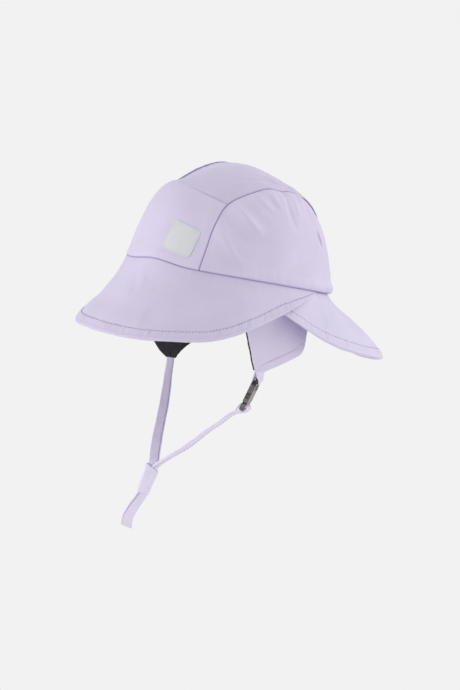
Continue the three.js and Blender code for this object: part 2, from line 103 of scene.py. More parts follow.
FRONT_BRIM = mirrored(0, {
    "angle": (0, 30, 60, 85, 100, 118),
    "length": (68, 68.5, 56.5, 30, 15.5, 1),
    "root": (78, 77, 73, 71, 66, 64),
    "hem": (50, 48, 47, 52, 54, 56),
})
NECK_FLAP = mirrored(180, {
    "angle": (78, 95, 112, 135, 155, 180),
    "length": (7, 23.5, 38, 55.5, 68.5, 78),
    "root": (84, 80, 66, 43, 28, 25),
    "hem": (80, 68, 58, 51, 48, 51),
})
LEFT_EAR = {
    "z": (-0.3, -20, -35, -47, -52, -56, -63, -70),
    "front": (-30, -24, -17, -10.5, -7.8, -5.5, -2, 2),
    "back": (42, 42, 41.7, 40.5, 38, 32.5, 21.5, 10.5),
}
RIGHT_EAR = {
    "z": (-0.3, -20, -38, -54, -66, -73, -78, -80),
    "front": (-34, -31, -28, -27, -25, -18, -11, -7),
    "back": (42, 42, 41.5, 36, 19, 10, 5, 3.5),
}
EAR_REACH, EAR_TURN = 61.5, 0.24

# folds, each from one place on its panel to another, some by way of a third, with the half width
# and height of the ridge; a height below 0 is a hollow, and shade is the painted shade of a sharp
# one
SIDE_FOLDS = (
    {"v": (0.347, 0.392, 0.466), "w": (-0.089, 0.409, 0.608), "width": 3.2, "rise": 2.4},
    {"v": (0.292, 0.342, 0.429), "w": (-0.073, 0.493, 0.710), "width": 5.0, "rise": -1.8},
    {"v": (0.197, 0.285, 0.413), "w": (-0.129, 0.665, 0.862), "width": 4.0, "rise": 2.2},
    {"v": (0.388, 0.427, 0.498), "w": (0.047, 0.358, 0.571), "width": 4.2, "rise": -0.8},
    {"v": (0.443, 0.467, 0.509), "w": (-0.027, 0.226, 0.383), "width": 1.9, "rise": 1.0},
    {"v": (0.482, 0.500, 0.526), "w": (0.045, 0.215, 0.345), "width": 1.8, "rise": -0.7},
    {"v": (0.509, 0.522, 0.545), "w": (0.051, 0.220, 0.346), "width": 1.7, "rise": 0.7},
    {"v": (0.561, 0.582, 0.616), "w": (0.080, 0.371, 0.539), "width": 2.3, "rise": -1.3},
    {"v": (0.601, 0.612, 0.632), "w": (0.095, 0.280, 0.415), "width": 2.0, "rise": 1.2},
    {"v": (0.548, 0.570), "w": (0.00, 0.14), "width": 2.4, "rise": -0.9},
    {"v": (0.630, 0.642), "w": (0.02, 0.20), "width": 3.0, "rise": 1.6},
    {"v": (0.655, 0.690), "w": (0.05, 0.40), "width": 2.2, "rise": -0.9},
    {"v": (0.700, 0.735), "w": (0.12, 0.45), "width": 2.6, "rise": 0.8},
    {"v": (0.725, 0.748, 0.762), "w": (0.435, 0.490, 0.560), "width": 1.2, "rise": -2.0,
     "shade": 0.9},
    {"v": (0.775, 0.795), "w": (0.300, 0.520), "width": 2.6, "rise": 0.8},
    {"v": (0.802, 0.806), "w": (0.02, 0.16), "width": 2.4, "rise": 0.9},
    {"v": (0.870, 0.850), "w": (0.02, 0.30), "width": 3.0, "rise": -0.7},
)
FAR_FOLDS = SIDE_FOLDS[:3] + (
    {"v": (0.410, 0.470), "w": (0.10, 0.60), "width": 4.0, "rise": 0.8},
    {"v": (0.520, 0.570), "w": (0.08, 0.50), "width": 3.0, "rise": 0.9},
    {"v": (0.550, 0.610), "w": (0.08, 0.50), "width": 4.5, "rise": -0.9},
    {"v": (0.730, 0.710), "w": (0.03, 0.30), "width": 4.0, "rise": 1.6},
    {"v": (0.810, 0.800), "w": (0.03, 0.36), "width": 3.0, "rise": -0.8},
    {"v": (0.320, 0.600), "w": (0.055, 0.045), "width": 3.0, "rise": 0.9},
)
TOP_FOLDS = (
    {"v": (0.200, 0.660), "c": (-0.62, -0.62), "width": 20, "rise": -3.8},
    {"v": (0.560, 0.640), "c": (0.96, 0.76), "width": 2.6, "rise": -1.4},
    {"v": (0.574, 0.539), "c": (0.778, 0.497), "width": 1.7, "rise": 0.9},
    {"v": (0.584, 0.547, 0.485), "c": (0.846, 0.758, 0.693), "width": 2.0, "rise": -1.0},
    {"v": (0.532, 0.472), "c": (0.730, 0.578), "width": 2.0, "rise": 0.6},
    {"v": (0.625, 0.620), "c": (0.93, 0.40), "width": 2.6, "rise": -0.7},
    {"v": (0.660, 0.640), "c": (0.95, 0.45), "width": 2.4, "rise": 0.7},
    {"v": (0.560, 0.610), "c": (-0.97, -0.70), "width": 4.0, "rise": -0.8},
    {"v": (0.800, 0.820), "c": (0.96, 0.55), "width": 4.0, "rise": -0.7},
    {"v": (0.700, 0.760), "c": (-0.96, -0.60), "width": 4.5, "rise": 0.7},
)
FRONT_FOLDS = (
    {"v": (0.280, 0.120), "c": (0.87, 0.93), "width": 2.6, "rise": 0.45},
    {"v": (0.300, 0.160), "c": (0.97, 0.96), "width": 2.2, "rise": -0.35},
    {"v": (0.300, 0.100), "c": (-0.90, -0.93), "width": 3.0, "rise": 0.4},
)
BRIM_FOLDS = (
    {"angle": (2, 12), "w": (0.05, 0.45), "width": 4.5, "rise": -0.5},
    {"angle": (8, 16), "w": (0.05, 0.40), "width": 3.5, "rise": 0.4},
    {"angle": (22, 25), "w": (0.50, 0.95), "width": 5.0, "rise": 0.7},
    {"angle": (38, 31), "w": (0.55, 0.90), "width": 5.0, "rise": 0.6},
    {"angle": (50, 55), "w": (0.30, 0.95), "width": 8.0, "rise": -0.6},
    {"angle": (72, 66), "w": (0.15, 0.70), "width": 7.0, "rise": 0.5},
    {"angle": (-20, -24), "w": (0.40, 0.95), "width": 6.0, "rise": 0.6},
    {"angle": (-48, -44), "w": (0.30, 0.95), "width": 7.0, "rise": -0.6},
)
NECK_FOLDS = (
    {"angle": (118, 126), "w": (0.05, 0.80), "width": 6.0, "rise": 0.6},
    {"angle": (150, 148), "w": (0.20, 0.90), "width": 9.0, "rise": -0.7},
    {"angle": (205, 210), "w": (0.10, 0.90), "width": 9.0, "rise": 0.7},
    {"angle": (236, 232), "w": (0.10, 0.85), "width": 6.0, "rise": -0.6},
)

# places where the sewn hat is pulled a little as it is worn: how far, and over what reach
PULLS = (
    {"at": (20.9, -85.1, 20.4), "move": (0, 0, 3.4), "reach": 20},
    {"at": (53.7, -62.6, 15.0), "move": (-2.2, -2.6, 0.6), "reach": 13},
    {"at": (-60.0, -111.3, -34.4), "move": (0.7, 1.4, 2.0), "reach": 24},
    {"at": (52.0, 119.0, -73.0), "move": (1.2, 2.0, -1.4), "reach": 26},
    {"at": (-48.0, 118.0, -72.0), "move": (0.4, 0.8, 7.0), "reach": 34},
    {"at": (49.1, 5.7, 75.3), "move": (0, 0, 1.0), "reach": 9},
    {"at": (49.9, 18.7, 74.8), "move": (0, 0, -1.6), "reach": 7},
    {"at": (-28.0, 20.0, 89.0), "move": (0, 0, 3.2), "reach": 24},
    {"at": (17.0, 41.0, 79.0), "move": (-0.6, -0.9, -1.8), "reach": 16},
    {"at": (28.5, 76.0, 29.0), "move": (-1.5, -2.3, 0), "reach": 28},
    {"at": (-31.0, -64.0, 52.0), "move": (0.6, 0.95, 0), "reach": 22},
    {"at": (-21.0, -37.0, 82.0), "move": (0.2, 0.3, -2.4), "reach": 13},
)

# hems: how far the topstitching lies from the edge, and the stitches of a row
BRIM_HEM, NECK_HEM, EAR_HEM = 7.8, 6.8, 6.4
STITCH_PITCH, STITCH_LENGTH, THREAD_RADIUS = 2.8, 1.25, 0.3

# the patch, its place on the front panel, and the pressed line inside its edge
PATCH = {"side": 25.4, "corner": 3, "wall": 0.55, "v": 0.112, "c": 0.655, "tilt": radians(-10),
         "line": 1.1}

STRAP_WIDTH, STRAP_WALL = 9, 1.3
TAPE_WIDTH, TAPE_WALL = 8, 1.0
SLEEVE_TOP = np.array((-4, -72.5, -155.5))
SLEEVE_BOTTOM = np.array((-8, -79.9, -177.3))
SLEEVE_WIDTH, SLEEVE_DEPTH, SLEEVE_WALL = 12, 5.6, 0.9
TAIL_SLANT = 2.6
CLIP_TOP = np.array((60, -11.3, -78.3))
CLIP_ACROSS = np.array((-0.643, 0.766, 0.024))
CLIP_DOWN = np.array((-0.349, -0.264, -0.899))

RIGHT_STRAP = {
    "x": (-60.0, -57.5, -51, -39, -24, -10.5, -5, -4.7, -6, -7.4, -8.6),
    "y": (-19.8, -23.5, -30, -41, -55, -66, -70.5, -72.1, -74.5, -77, -79.3),
    "z": (-76.4, -90, -104, -119, -134.5, -146, -152.2, -155.6, -162.8, -170, -176.8),
    "turn": (0, 0.1, 0.3, 0.55, 0.8, 1, 1, 1, 1, 1, 1),
}
LEFT_STRAP = {
    "x": (36.5, 29, 21, 13, 6, 1.4, -2.2, -4.4, -6, -7.3, -9.6, -10.9, -12),
    "y": (-35.1, -43.4, -51.3, -59.4, -65.4, -69.2, -71.6, -75.1, -77.9, -80.4, -88.6,
          -92.6, -93.1),
    "z": (-116.6, -124.8, -134, -141.9, -147.6, -151.9, -155.9, -162.8, -170, -177.4, -189.6,
          -197.4, -205.1),
    "turn": (0, 0.05, 0.12, 0.18, 0.3, 0.5, 0.85, 1, 1, 1, 1, 0.98, 0.95),
    "wide": (1, 1, 1, 0.9, 0.7, 0.62, 0.62, 0.9, 1, 1, 1, 1, 1),
    "roll": (20, 20, 20, 18, 12, 8, 4, 0, 0, 0, 0, 0, 0),
    "fold": (0.7, 0.7, 0.7, 0.7, 0.5, 0.2, -0.2, -0.3, -0.4, -0.5, -0.75, -0.93, -0.93),
}
# how the strap starts round the plug's bar, measured up the clip from its top and outwards
STRAP_LOOP = {
    "along": (-31.6, -29.8, -28.2, -26, -24.4, -23.7, -23.5, -24.1, -25.9, -28.1, -30.6, -33.9),
    "out": (-5.0, -4.5, -4.1, -3.5, -2.4, 0, 2.2, 3.5, 3.7, 2.2, -1.2, -5.2),
    "roll": (8, 8, 8, 6, 3, 0, 3, 8, 12, 16, 20, 20),
}
CLIP_TAPE = {
    "along": (9.0, 5.4, 2, -1.2, -3.4, -3.5, -1.2, 2, 5.4, 9.0),
    "out": (-2.1, -2.4, -2.8, -2.8, -1.4, 0.9, 2.7, 2.5, 0.6, -1.3),
    "turn": (0, 0.35, 0.75, 1, 1, 1, 1, 0.75, 0.35, 0),
}


# surfaces of the cloth, as points in mm

def lerp(a, b, t):
    return a + (b - a) * t


def unit(a):
    return a / np.maximum(np.linalg.norm(a, axis=-1, keepdims=True), 1e-12)


CLIP_OUT = unit(np.cross(CLIP_DOWN, CLIP_ACROSS))
CLIP_UP = unit(np.cross(CLIP_OUT, CLIP_ACROSS))
SLEEVE_DOWN = unit(SLEEVE_BOTTOM - SLEEVE_TOP)
SLEEVE_ACROSS = np.array((0.5446, 0.8387, 0))
SLEEVE_ACROSS = unit(SLEEVE_ACROSS - SLEEVE_DOWN * (SLEEVE_ACROSS @ SLEEVE_DOWN))


def points(x, y, z):
    return np.stack(np.broadcast_arrays(x, y, z), -1).astype(float)


def smooth(t):
    t = np.clip(t, 0, 1)
    return t * t * (3 - 2 * t)


def column(table, key, name, place):
    """Smooth value of one column of a table, at places given in its key column."""
    knots, values = np.array(table[key], float), np.array(table[name], float)
    if knots[0] > knots[-1]:
        knots, values = knots[::-1], values[::-1]
    span = np.diff(knots)
    secant = np.diff(values) / span
    slope = np.concatenate((
        secant[:1],
        (secant[1:] * span[:-1] + secant[:-1] * span[1:]) / (span[1:] + span[:-1]),
        secant[-1:],
    ))
    place = np.clip(place, knots[0], knots[-1])
    i = np.clip(np.searchsorted(knots, place, side="right") - 1, 0, len(span) - 1)
    t = (place - knots[i]) / span[i]
    rise = lerp(values[i], values[i + 1], t * t * (3 - 2 * t))
    return rise + span[i] * t * (1 - t) * ((1 - t) * slope[i] - t * slope[i + 1])


def pitched(p):
    """Points of the hat set upright, turned so that its front is raised as it is worn."""
    up, level = sin(HAT_PITCH), cos(HAT_PITCH)
    p = points(p[..., 0], p[..., 1] * level + p[..., 2] * up, p[..., 2] * level - p[..., 1] * up)
    pulled = p.copy()
    for pull in PULLS:
        away = np.linalg.norm(p - np.array(pull["at"]), axis=-1, keepdims=True)
        pulled += np.exp(-(away / pull["reach"]) ** 2) * np.array(pull["move"])
    return pulled


def band(degrees, inset=0):
    """Points on the head opening and their outward directions."""
    angle = np.radians(degrees)
    outward = unit(points(np.sin(angle) / BAND_HALF_WIDTH, -np.cos(angle) / BAND_HALF_LENGTH, 0))
    edge = points(BAND_HALF_WIDTH * np.sin(angle), -BAND_HALF_LENGTH * np.cos(angle), 0)
    return edge - inset * outward, outward


def arch(x):
    return BAND_ARCH * (x / BAND_HALF_WIDTH) ** 2


def settled(p):
    """Crown points as sewn, raised over the ears and leaned to one side."""
    x, y, z = p[..., 0], p[..., 1], p[..., 2]
    lean = CROWN_LEAN * z / CROWN_HEIGHT
    raised = z + arch(x) * (1 - z / CROWN_HEIGHT)
    return points(x + raised * lean * 0.5, y, raised - x * lean)


def crown_outward(p):
    """Direction through the crown's wall, the same for panels that meet at a seam."""
    return unit(p / np.array((BAND_HALF_WIDTH, BAND_HALF_LENGTH, CROWN_HEIGHT)) ** 2)


def crown(name, v):
    return column(CROWN, "v", name, v)


def middle_surface(v, c):
    """Front panel and top strip: v along, c from the right seam (-1) to the left seam (1)."""
    return settled(points(
        crown("seam_x", v) * c,
        lerp(crown("mid_y", v), crown("seam_y", v), c * c),
        lerp(crown("mid_z", v), crown("seam_z", v), c * c),
    ))


def side_surface(side, v, w):
    """Side panel: v along the arched seam, w from the seam (0) down to the band (1)."""
    seam = points(crown("seam_x", v), crown("seam_y", v), crown("seam_z", v))
    foot = band(crown("foot", v))[0]
    shoulder = points(foot[..., 0] * 0.985, foot[..., 1] * 0.985, seam[..., 2] * 0.86)
    w = np.asarray(w)[..., None]
    p = (1 - w) ** 2 * seam + 2 * w * (1 - w) * shoulder + w * w * foot
    return settled(p * np.array((side, 1, 1)))


def brim_surface(table, inset, angle, w):
    """Front brim or neck flap: angle round the band, w from its seam (0) to its hem (1)."""
    length = column(table, "angle", "length", angle)
    root = np.radians(column(table, "angle", "root", angle))
    turn = np.radians(column(table, "angle", "hem", angle)) - root
    bend = np.where(np.abs(turn) > 1e-4, turn, 1e-4)
    out = length * (np.sin(root + bend * w) - np.sin(root)) / bend
    down = length * (np.cos(root) - np.cos(root + bend * w)) / bend
    edge, outward = band(angle, inset)
    p = edge + outward * out[..., None]
    p[..., 2] = arch(edge[..., 0]) - SEAM_GAP - down
    slope = (root + turn * w)[..., None]
    return p, outward * np.sin(slope) + np.array((0, 0, 1)) * np.cos(slope)


def ear_surface(table, side, y, z):
    """Ear flap at a distance y back from the middle and z up from the band."""
    s = (table["z"][0] - z) / (table["z"][0] - table["z"][-1])
    width, length = BAND_HALF_WIDTH - EAR_INSET, BAND_HALF_LENGTH - EAR_INSET
    level = np.sqrt(1 - (y / length) ** 2)
    x = lerp(width * level, EAR_REACH + EAR_TURN * y, s)
    slope = lerp(-width * y / (length ** 2 * level), EAR_TURN, s)
    outward = unit(points(1, -slope, 0 * y))
    flip = np.array((side, 1, 1))
    return points(x, y, z + arch(x) * (1 - s)) * flip, outward * flip


# tools for laying cloth

def graded(length, step, fine=(0, 0.15, 0.4, 0.8, 1.4, 2.2), start=True):
    """Shares from 0 to 1 of a length, about step apart, and close together near its end and, if
    start says so, near its start."""
    fine = np.array(fine)
    low = fine if start else fine[:1]
    high = length - fine[::-1]
    count = max(2, round((high[0] - low[-1]) / step))
    inner = np.linspace(low[-1], high[0], count + 1)[1:-1]
    return np.concatenate((low, inner, high)) / length


def runs(grid, axis):
    """Distance of each point of a grid from the grid's first row or column."""
    steps = np.linalg.norm(np.diff(grid, axis=axis), axis=-1)
    start = np.zeros_like(np.take(steps, [0], axis=axis))
    return np.concatenate((start, np.cumsum(steps, axis=axis)), axis=axis)


def sampled(place, run, line):
    """Points at distances along a line, whose own points are at the distances run."""
    return np.stack([np.interp(place, run, line[:, axis]) for axis in range(3)], -1)


def distance_to(grid, line):
    """Distance of each point of a grid from a line of points, and how far along it that is."""
    flat = grid.reshape(-1, 3)
    best, share = np.full(len(flat), np.inf), np.zeros(len(flat))
    for i in range(len(line) - 1):
        a, d = line[i], line[i + 1] - line[i]
        t = np.clip((flat - a) @ d / max(d @ d, 1e-12), 0, 1)
        away = np.linalg.norm(flat - a - t[:, None] * d, axis=1)
        nearer = away < best
        best[nearer] = away[nearer]
        share[nearer] = (i + t[nearer]) / (len(line) - 1)
    return best.reshape(grid.shape[:2]), share.reshape(grid.shape[:2])


FOLD_STEPS, FOLD_SHADE_WIDTH = 13, 0.8


def folded(grid, surface, folds):
    """Height of a panel's folds above its plain surface, and the shade painted in their hollows."""
    rise, shade = np.zeros(grid.shape[:2]), np.zeros(grid.shape[:2])
    for fold in folds:
        first, second = [fold[key] for key in fold if key not in ("width", "rise", "shade")]
        t = np.linspace(0, 1, FOLD_STEPS)
        stops = np.linspace(0, 1, len(first))
        curves = (np.polyfit(stops, ends, len(ends) - 1) for ends in (first, second))
        line = surface(*(np.polyval(curve, t) for curve in curves))
        away, share = distance_to(grid, line)
        along = np.sin(pi * np.clip(share, 0.02, 0.98)) ** 0.8
        rise += fold["rise"] * np.exp(-(away / fold["width"]) ** 2) * along
        # painted shade in a sharp fold's hollow
        dark = fold.get("shade", 0) * np.exp(-(away / FOLD_SHADE_WIDTH) ** 2)
        shade = np.maximum(shade, dark * along)
    return rise, shade


def wander(grid, size, seed):
    """Slow wandering of cloth, about -1 to 1, over lengths of about size."""
    draw = np.random.default_rng(seed)
    total = np.zeros(grid.shape[:-1])
    for _ in range(7):
        way = unit(draw.normal(size=3)) * 2 * pi / (size * draw.uniform(0.7, 1.5))
        total += np.sin(grid @ way + draw.uniform(0, 2 * pi))
    return total / 3.5


def puckers(run, away, reach, pitch, seed):
    """Small puckers square to a seam: run is along the seam and away the distance from it."""
    draw = np.random.default_rng(seed)
    total = 0
    for k in (1, 1.37, 0.61):
        total = total + np.sin(2 * pi * run / (pitch * k) + draw.uniform(0, 2 * pi))
    return total / 2 * np.exp(-(away / reach) ** 2)


# meshes

def new_object(name, mesh):
    thing = bpy.data.objects.new(name, mesh)
    bpy.context.scene.collection.objects.link(thing)
    return thing


def add_marks(mesh, marks):
    for name, values in marks.items():
        layer = mesh.attributes.new(name, "FLOAT", "POINT")
        layer.data.foreach_set("value", np.asarray(values, np.float32).ravel())


def add_flat(mesh, flat):
    """Where each corner of a mesh lies on the flat cloth, in metres, as its UV map."""
    layer = mesh.uv_layers.new(name="flat_cloth")
    corner = np.empty(len(mesh.loops), np.int32)
    mesh.loops.foreach_get("vertex_index", corner)
    layer.data.foreach_set("uv", (np.asarray(flat)[corner] * MM).astype(np.float32).ravel())


def mesh_from(name, verts, faces, flat=None, marks=None):
    mesh = bpy.data.meshes.new(name)
    mesh.from_pydata((np.asarray(verts) * MM).tolist(), [], faces)
    mesh.shade_smooth()
    if flat is not None:
        add_flat(mesh, flat)
    add_marks(mesh, marks or {})
    mesh.update()
    return mesh


def border_of(rows, columns):
    """Row and column numbers round the border of a grid, in turn."""
    low, far = rows - 1, columns - 1
    i = [*[0] * columns, *range(1, rows), *[low] * far, *range(low - 1, 0, -1)]
    j = [*range(columns), *[far] * low, *range(far - 1, -1, -1), *[0] * (low - 1)]
    return np.array(i), np.array(j)


RIM = 3


def wall_mesh(name, face, back, round_edges, marks):
    """Closed wall of cloth between two grids, with rounded edges at its first and last rows and
    its first and last columns, as round_edges says."""
    rows, columns = face.shape[:2]
    number = np.arange(rows * columns).reshape(rows, columns)
    verts = [face.reshape(-1, 3), back.reshape(-1, 3)]
    quads = np.stack((number[:-1, :-1], number[1:, :-1], number[1:, 1:], number[:-1, 1:]), -1)
    quads = quads.reshape(-1, 4)
    faces = [quads, quads[:, ::-1] + rows * columns]
    flat = np.stack((runs(face, 1), runs(face, 0)), -1).reshape(-1, 2)
    flats = [flat, flat]
    i, j = border_of(rows, columns)
    out = np.zeros((len(i), 3))
    reach = np.zeros(len(i))
    inward = ((i == 0, 1, 0), (i == rows - 1, -1, 0), (j == 0, 0, 1), (j == columns - 1, 0, -1))
    for (at, di, dj), rounding in zip(inward, round_edges):
        step = unit(face[i[at], j[at]] - face[i[at] + di, j[at] + dj])
        out[at] += step
        reach[at] = np.maximum(reach[at], rounding)
    out = unit(out)
    middle = (face[i, j] + back[i, j]) / 2
    half = (face[i, j] - back[i, j]) / 2
    thick = np.linalg.norm(half, axis=1, keepdims=True) * reach[:, None]
    ring = [number[i, j]]
    count = 2 * rows * columns
    for k in range(1, RIM + 1):
        angle = pi * k / (RIM + 1)
        verts.append(middle + half * cos(angle) + out * thick * sin(angle))
        ring.append(np.arange(len(i)) + count)
        flats.append(flat[number[i, j]])
        count += len(i)
    ring.append(number[i, j] + rows * columns)
    for a, b in zip(ring, ring[1:]):
        c, d = np.roll(a, -1), np.roll(b, -1)
        faces.append(np.stack((a, c, d, b), -1))
    whole = {key: np.concatenate([values.ravel()] * 2 + [values[i, j]] * RIM)
             for key, values in marks.items()}
    whole["inside"] = np.concatenate(
        [np.zeros(rows * columns), np.ones(rows * columns)]
        + [np.full(len(i), k / (RIM + 1)) for k in range(1, RIM + 1)]
    )
    verts = np.concatenate(verts)
    faces = np.concatenate(faces)
    i, j = rows // 2, columns // 2
    a, b, c, d = face[i, j], face[i + 1, j], face[i + 1, j + 1], face[i, j + 1]
    if np.cross(c - a, d - b) @ (a - back[i, j]) < 0:
        faces = faces[:, ::-1]
    return mesh_from(name, verts, faces.tolist(), np.concatenate(flats), whole)


def tube_mesh(name, rings, flat_rings, marks=None, closed=False):
    """Tube through rings of points, its ends capped, or joined to each other if it is closed."""
    count, around = rings.shape[:2]
    number = np.arange(count * around).reshape(count, around)
    a, b = (number, np.roll(number, -1, 0)) if closed else (number[:-1], number[1:])
    quads = np.stack((a, np.roll(a, -1, 1), np.roll(b, -1, 1), b), -1).reshape(-1, 4).tolist()
    caps = [] if closed else [number[0, ::-1].tolist(), number[-1].tolist()]
    verts = rings.reshape(-1, 3)
    faces = quads + caps
    volume = sum(float(verts[face[0]] @ np.cross(verts[face[k]], verts[face[k + 1]]))
                 for face in faces for k in range(1, len(face) - 1))
    if volume < 0:
        faces = [face[::-1] for face in faces]
    return mesh_from(name, verts, faces, flat_rings.reshape(-1, 2), marks)


def dress(name, mesh, material, slot, *nodes):
    """Makes a piece from its mesh, with its material, and hides the solids it stands for."""
    thing = new_object(name, mesh)
    mesh.materials.append(material)
    if nodes:
        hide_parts(*nodes)
    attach(thing, BODY)
    return thing


# crown

# seams: depth and half width of the groove, how much shade is painted in it, and how far one
# panel laps another; a depth below 0 is a raised edge
SEWN = {"depth": 0.75, "width": 0.55, "shade": 0.85}
OVER = {"depth": 0.75, "width": 0.55, "shade": 0.85, "lap": 1.2}
FAINT = {"depth": 0.25, "width": 0.5, "shade": 0.45}
HEMMED = {"depth": 0.7, "width": 0.45, "shade": 0.85}
TIP = {"depth": 0.95, "width": 0.3, "shade": 0.3}
LOWER = {"depth": 0.95, "width": 0.9, "shade": 1.0}
LAPPED = {"depth": -0.6, "width": 1.1, "shade": 1.0}
# the turned edge beside a seam, and how far a lap and the tape inside reach from it
TURNED = {"rise": 0.22, "away": 1.7, "width": 0.9}
LAP_REACH, TAPE_REACH, TAPE_EDGE = 6, 4.5, 1.2
# where the faint seam fades, across the hat, and where the far side's panel laps, front to back
FAINT_ENDS, FAINT_FADE = 37, 26
LAP_STARTS, LAP_ENDS, LAP_FADE = 22, 86, 8
# how the cloth swells just above the band, in front and behind
BAND_SWELL = {"front": 0.5, "back": 2.2, "away": 4.5, "reach": 4}


def seam_relief(edges, seams, hidden, behind):
    """Height of the cloth beside a panel's seams, the shade painted in them, and the tape inside.
    """
    rise, shade, tape = np.zeros(hidden.shape), np.zeros(hidden.shape), np.zeros(hidden.shape)
    for away, seam in zip(edges, seams):
        show = 1 - hidden if seam is FAINT else 1
        lap = seam.get("lap", 0) * behind
        groove = np.exp(-(away / seam["width"]) ** 1.6)
        turned = TURNED["rise"] * np.exp(-((away - TURNED["away"]) / TURNED["width"]) ** 2)
        rise = rise + show * (turned - groove) * seam["depth"] * (1 - np.minimum(lap, 1))
        rise = rise + lap * np.exp(-(away / LAP_REACH) ** 2)
        wide = 0.9 * seam["width"] * (1 + lap)
        # painted shade in the seam's groove, wider where one panel laps another
        shade = np.maximum(shade, show * seam["shade"] * np.exp(-(away / wide) ** 2))
        tape = np.maximum(tape, smooth((TAPE_REACH - away) / TAPE_EDGE))
    return rise, shade, tape


def crown_panel(name, surface, first, second, folds, seams, rounded, material, slot):
    """One crown panel over its plain surface, between the two lists of panel places."""
    a, b = np.meshgrid(first, second, indexing="ij")
    grid = surface(a, b)
    outward = crown_outward(grid)
    along, across = runs(grid, 0), runs(grid, 1)
    edges = (along, along[-1:] - along, across, across[:, -1:] - across)
    x, y = grid[..., 0], grid[..., 1]
    hidden = smooth((FAINT_ENDS - x) / FAINT_FADE)
    behind = smooth((y - LAP_STARTS) / LAP_FADE) * smooth((LAP_ENDS - y) / LAP_FADE)
    sewn, shade, tape = seam_relief(edges, seams, hidden, behind)
    rise, fold_shade = folded(grid, surface, folds)
    rise += slow_relief(grid)
    rise += 0.22 * puckers(along, np.minimum(edges[2], edges[3]), reach=7, pitch=9, seed=5)
    rise += 0.16 * puckers(across, np.minimum(edges[0], edges[1]), reach=6, pitch=8, seed=6)
    rise *= smooth(np.minimum.reduce(edges) / 3.0) * 0.85 + 0.15
    low = (edges[seams.index(HEMMED)] - BAND_SWELL["away"]) / BAND_SWELL["reach"]
    swell = lerp(BAND_SWELL["front"], BAND_SWELL["back"], smooth((y + 10) / 90))
    rise += swell * np.exp(-low ** 2)
    face = grid + outward * (rise + sewn)[..., None]
    inner = rise * 0.8 - CROWN_WALL + 0.75 * np.minimum(sewn, 0) - 0.35 * tape
    back = grid + outward * inner[..., None]
    # the painted shade of the seams and of the folds' hollows goes on as a mark
    mesh = wall_mesh(name + "_cloth", pitched(face), pitched(back), rounded,
                     {"painted_shade": np.maximum(shade, fold_shade)})
    return dress(name + "_cloth", mesh, material, slot, name)


def slow_relief(grid):
    """Slow unevenness of the crown, which its patch follows too."""
    return 0.35 * wander(grid, size=45, seed=3) + 0.1 * wander(grid, size=16, seed=4)


def make_crown(looks):
    across = graded(100, 1.2) * 2 - 1
    first = lerp(0, CORNER, graded(72, 1.2))
    crown_panel("crown_front_panel", middle_surface, first, across, FRONT_FOLDS,
                (HEMMED, FAINT, SEWN, SEWN), (0.6, 0, 0, 0), looks["panel"], "panel_cloth")
    top = lerp(CORNER, 1, graded(180, 1.2))
    crown_panel("crown_top_panel", middle_surface, top, across, TOP_FOLDS,
                (FAINT, HEMMED, LOWER, OVER), (0, 0.6, 0, 0), looks["top"], "crown_cloth")
    drops = graded(88, 1.1)
    places = lerp(0.003, 0.998, graded(235, 1.2))
    sides = ((1, "left", SIDE_FOLDS, SEWN), (-1, "right", FAR_FOLDS, LAPPED))
    for side, where, folds, seam in sides:
        crown_panel(f"crown_side_panel_{where}", lambda v, w, side=side: side_surface(side, v, w),
                    places, drops, folds, (TIP, TIP, seam, HEMMED), (0, 0, 0, 0.6),
                    looks["panel"], "panel_cloth")


# brim and flaps

# distances up from the hem at which the cloth has a row of points, and from its stitching
HEM_EDGE = (0, 0.12, 0.3, 0.6, 1, 1.6, 2.4, 3.4, 4.6, 5.8, 7)
HEM_STITCHING = (-1.1, -0.7, -0.4, -0.15, 0, 0.15, 0.4, 0.7, 1.2, 2)
# heights of a turned hem, of the groove at its stitching and of the line near its edge
HEM_TURNED, HEM_GROOVE, HEM_LINE, HEM_PUCKER, HEM_INSIDE = 0.30, 0.26, 0.05, 0.5, 0.9
# a brim shorter than this has a hem made smaller to suit
FULL_HEM_LENGTH = 24
BRIM_RADIUS = 130
WAVES, WAVE_HEIGHT = (5, 8, 13), 3.2


def hem_rows(length, hem, step):
    """Distances up from the hem for each length of cloth, close together at the hem, at its
    stitching and at the seam: rows by length."""
    edge = np.unique(HEM_EDGE + tuple(hem + step for step in HEM_STITCHING))
    rest = graded(np.max(length) - edge[-1], step, start=False)[1:]
    scale = np.minimum(1, length / (2.2 * edge[-1]))[:, None]
    low = edge[None, :] * scale
    return np.concatenate((low, lerp(low[:, -1:], length[:, None], rest[None, :])), axis=1)


def hem_relief(away, scale, run, hem, seed):
    """Height of a turned hem's outer side, its depth inside, and the shade painted in its groove
    and along its edge line; away is the distance up from the edge and run the distance along it."""
    under = smooth((hem + 0.6 * scale - away) / (1.2 * scale))
    groove = np.exp(-((away - hem) / 0.6) ** 2)
    edge_line = np.exp(-((away - 1.6) / 0.5) ** 2)
    pucker = puckers(run, np.abs(away - 0.6 * hem), 0.55 * hem, pitch=6.5, seed=seed)
    rise = HEM_TURNED * under - HEM_GROOVE * groove - HEM_LINE * edge_line + HEM_PUCKER * pucker
    inside = HEM_INSIDE * smooth((hem + 0.9 - away) / 0.5)
    # painted shade in the stitching's groove and along the line near the edge
    shade = 0.04 * groove + 0.04 * edge_line
    return rise * scale, inside * scale, shade * scale


def wavy(angle, w, seed):
    """Long radial waves of a brim, growing towards its hem."""
    draw = np.random.default_rng(seed)
    total = 0
    for count in WAVES:
        total = total + np.sin(np.radians(angle) * count + draw.uniform(0, 2 * pi)) / count
    return total * WAVE_HEIGHT * w ** 1.6


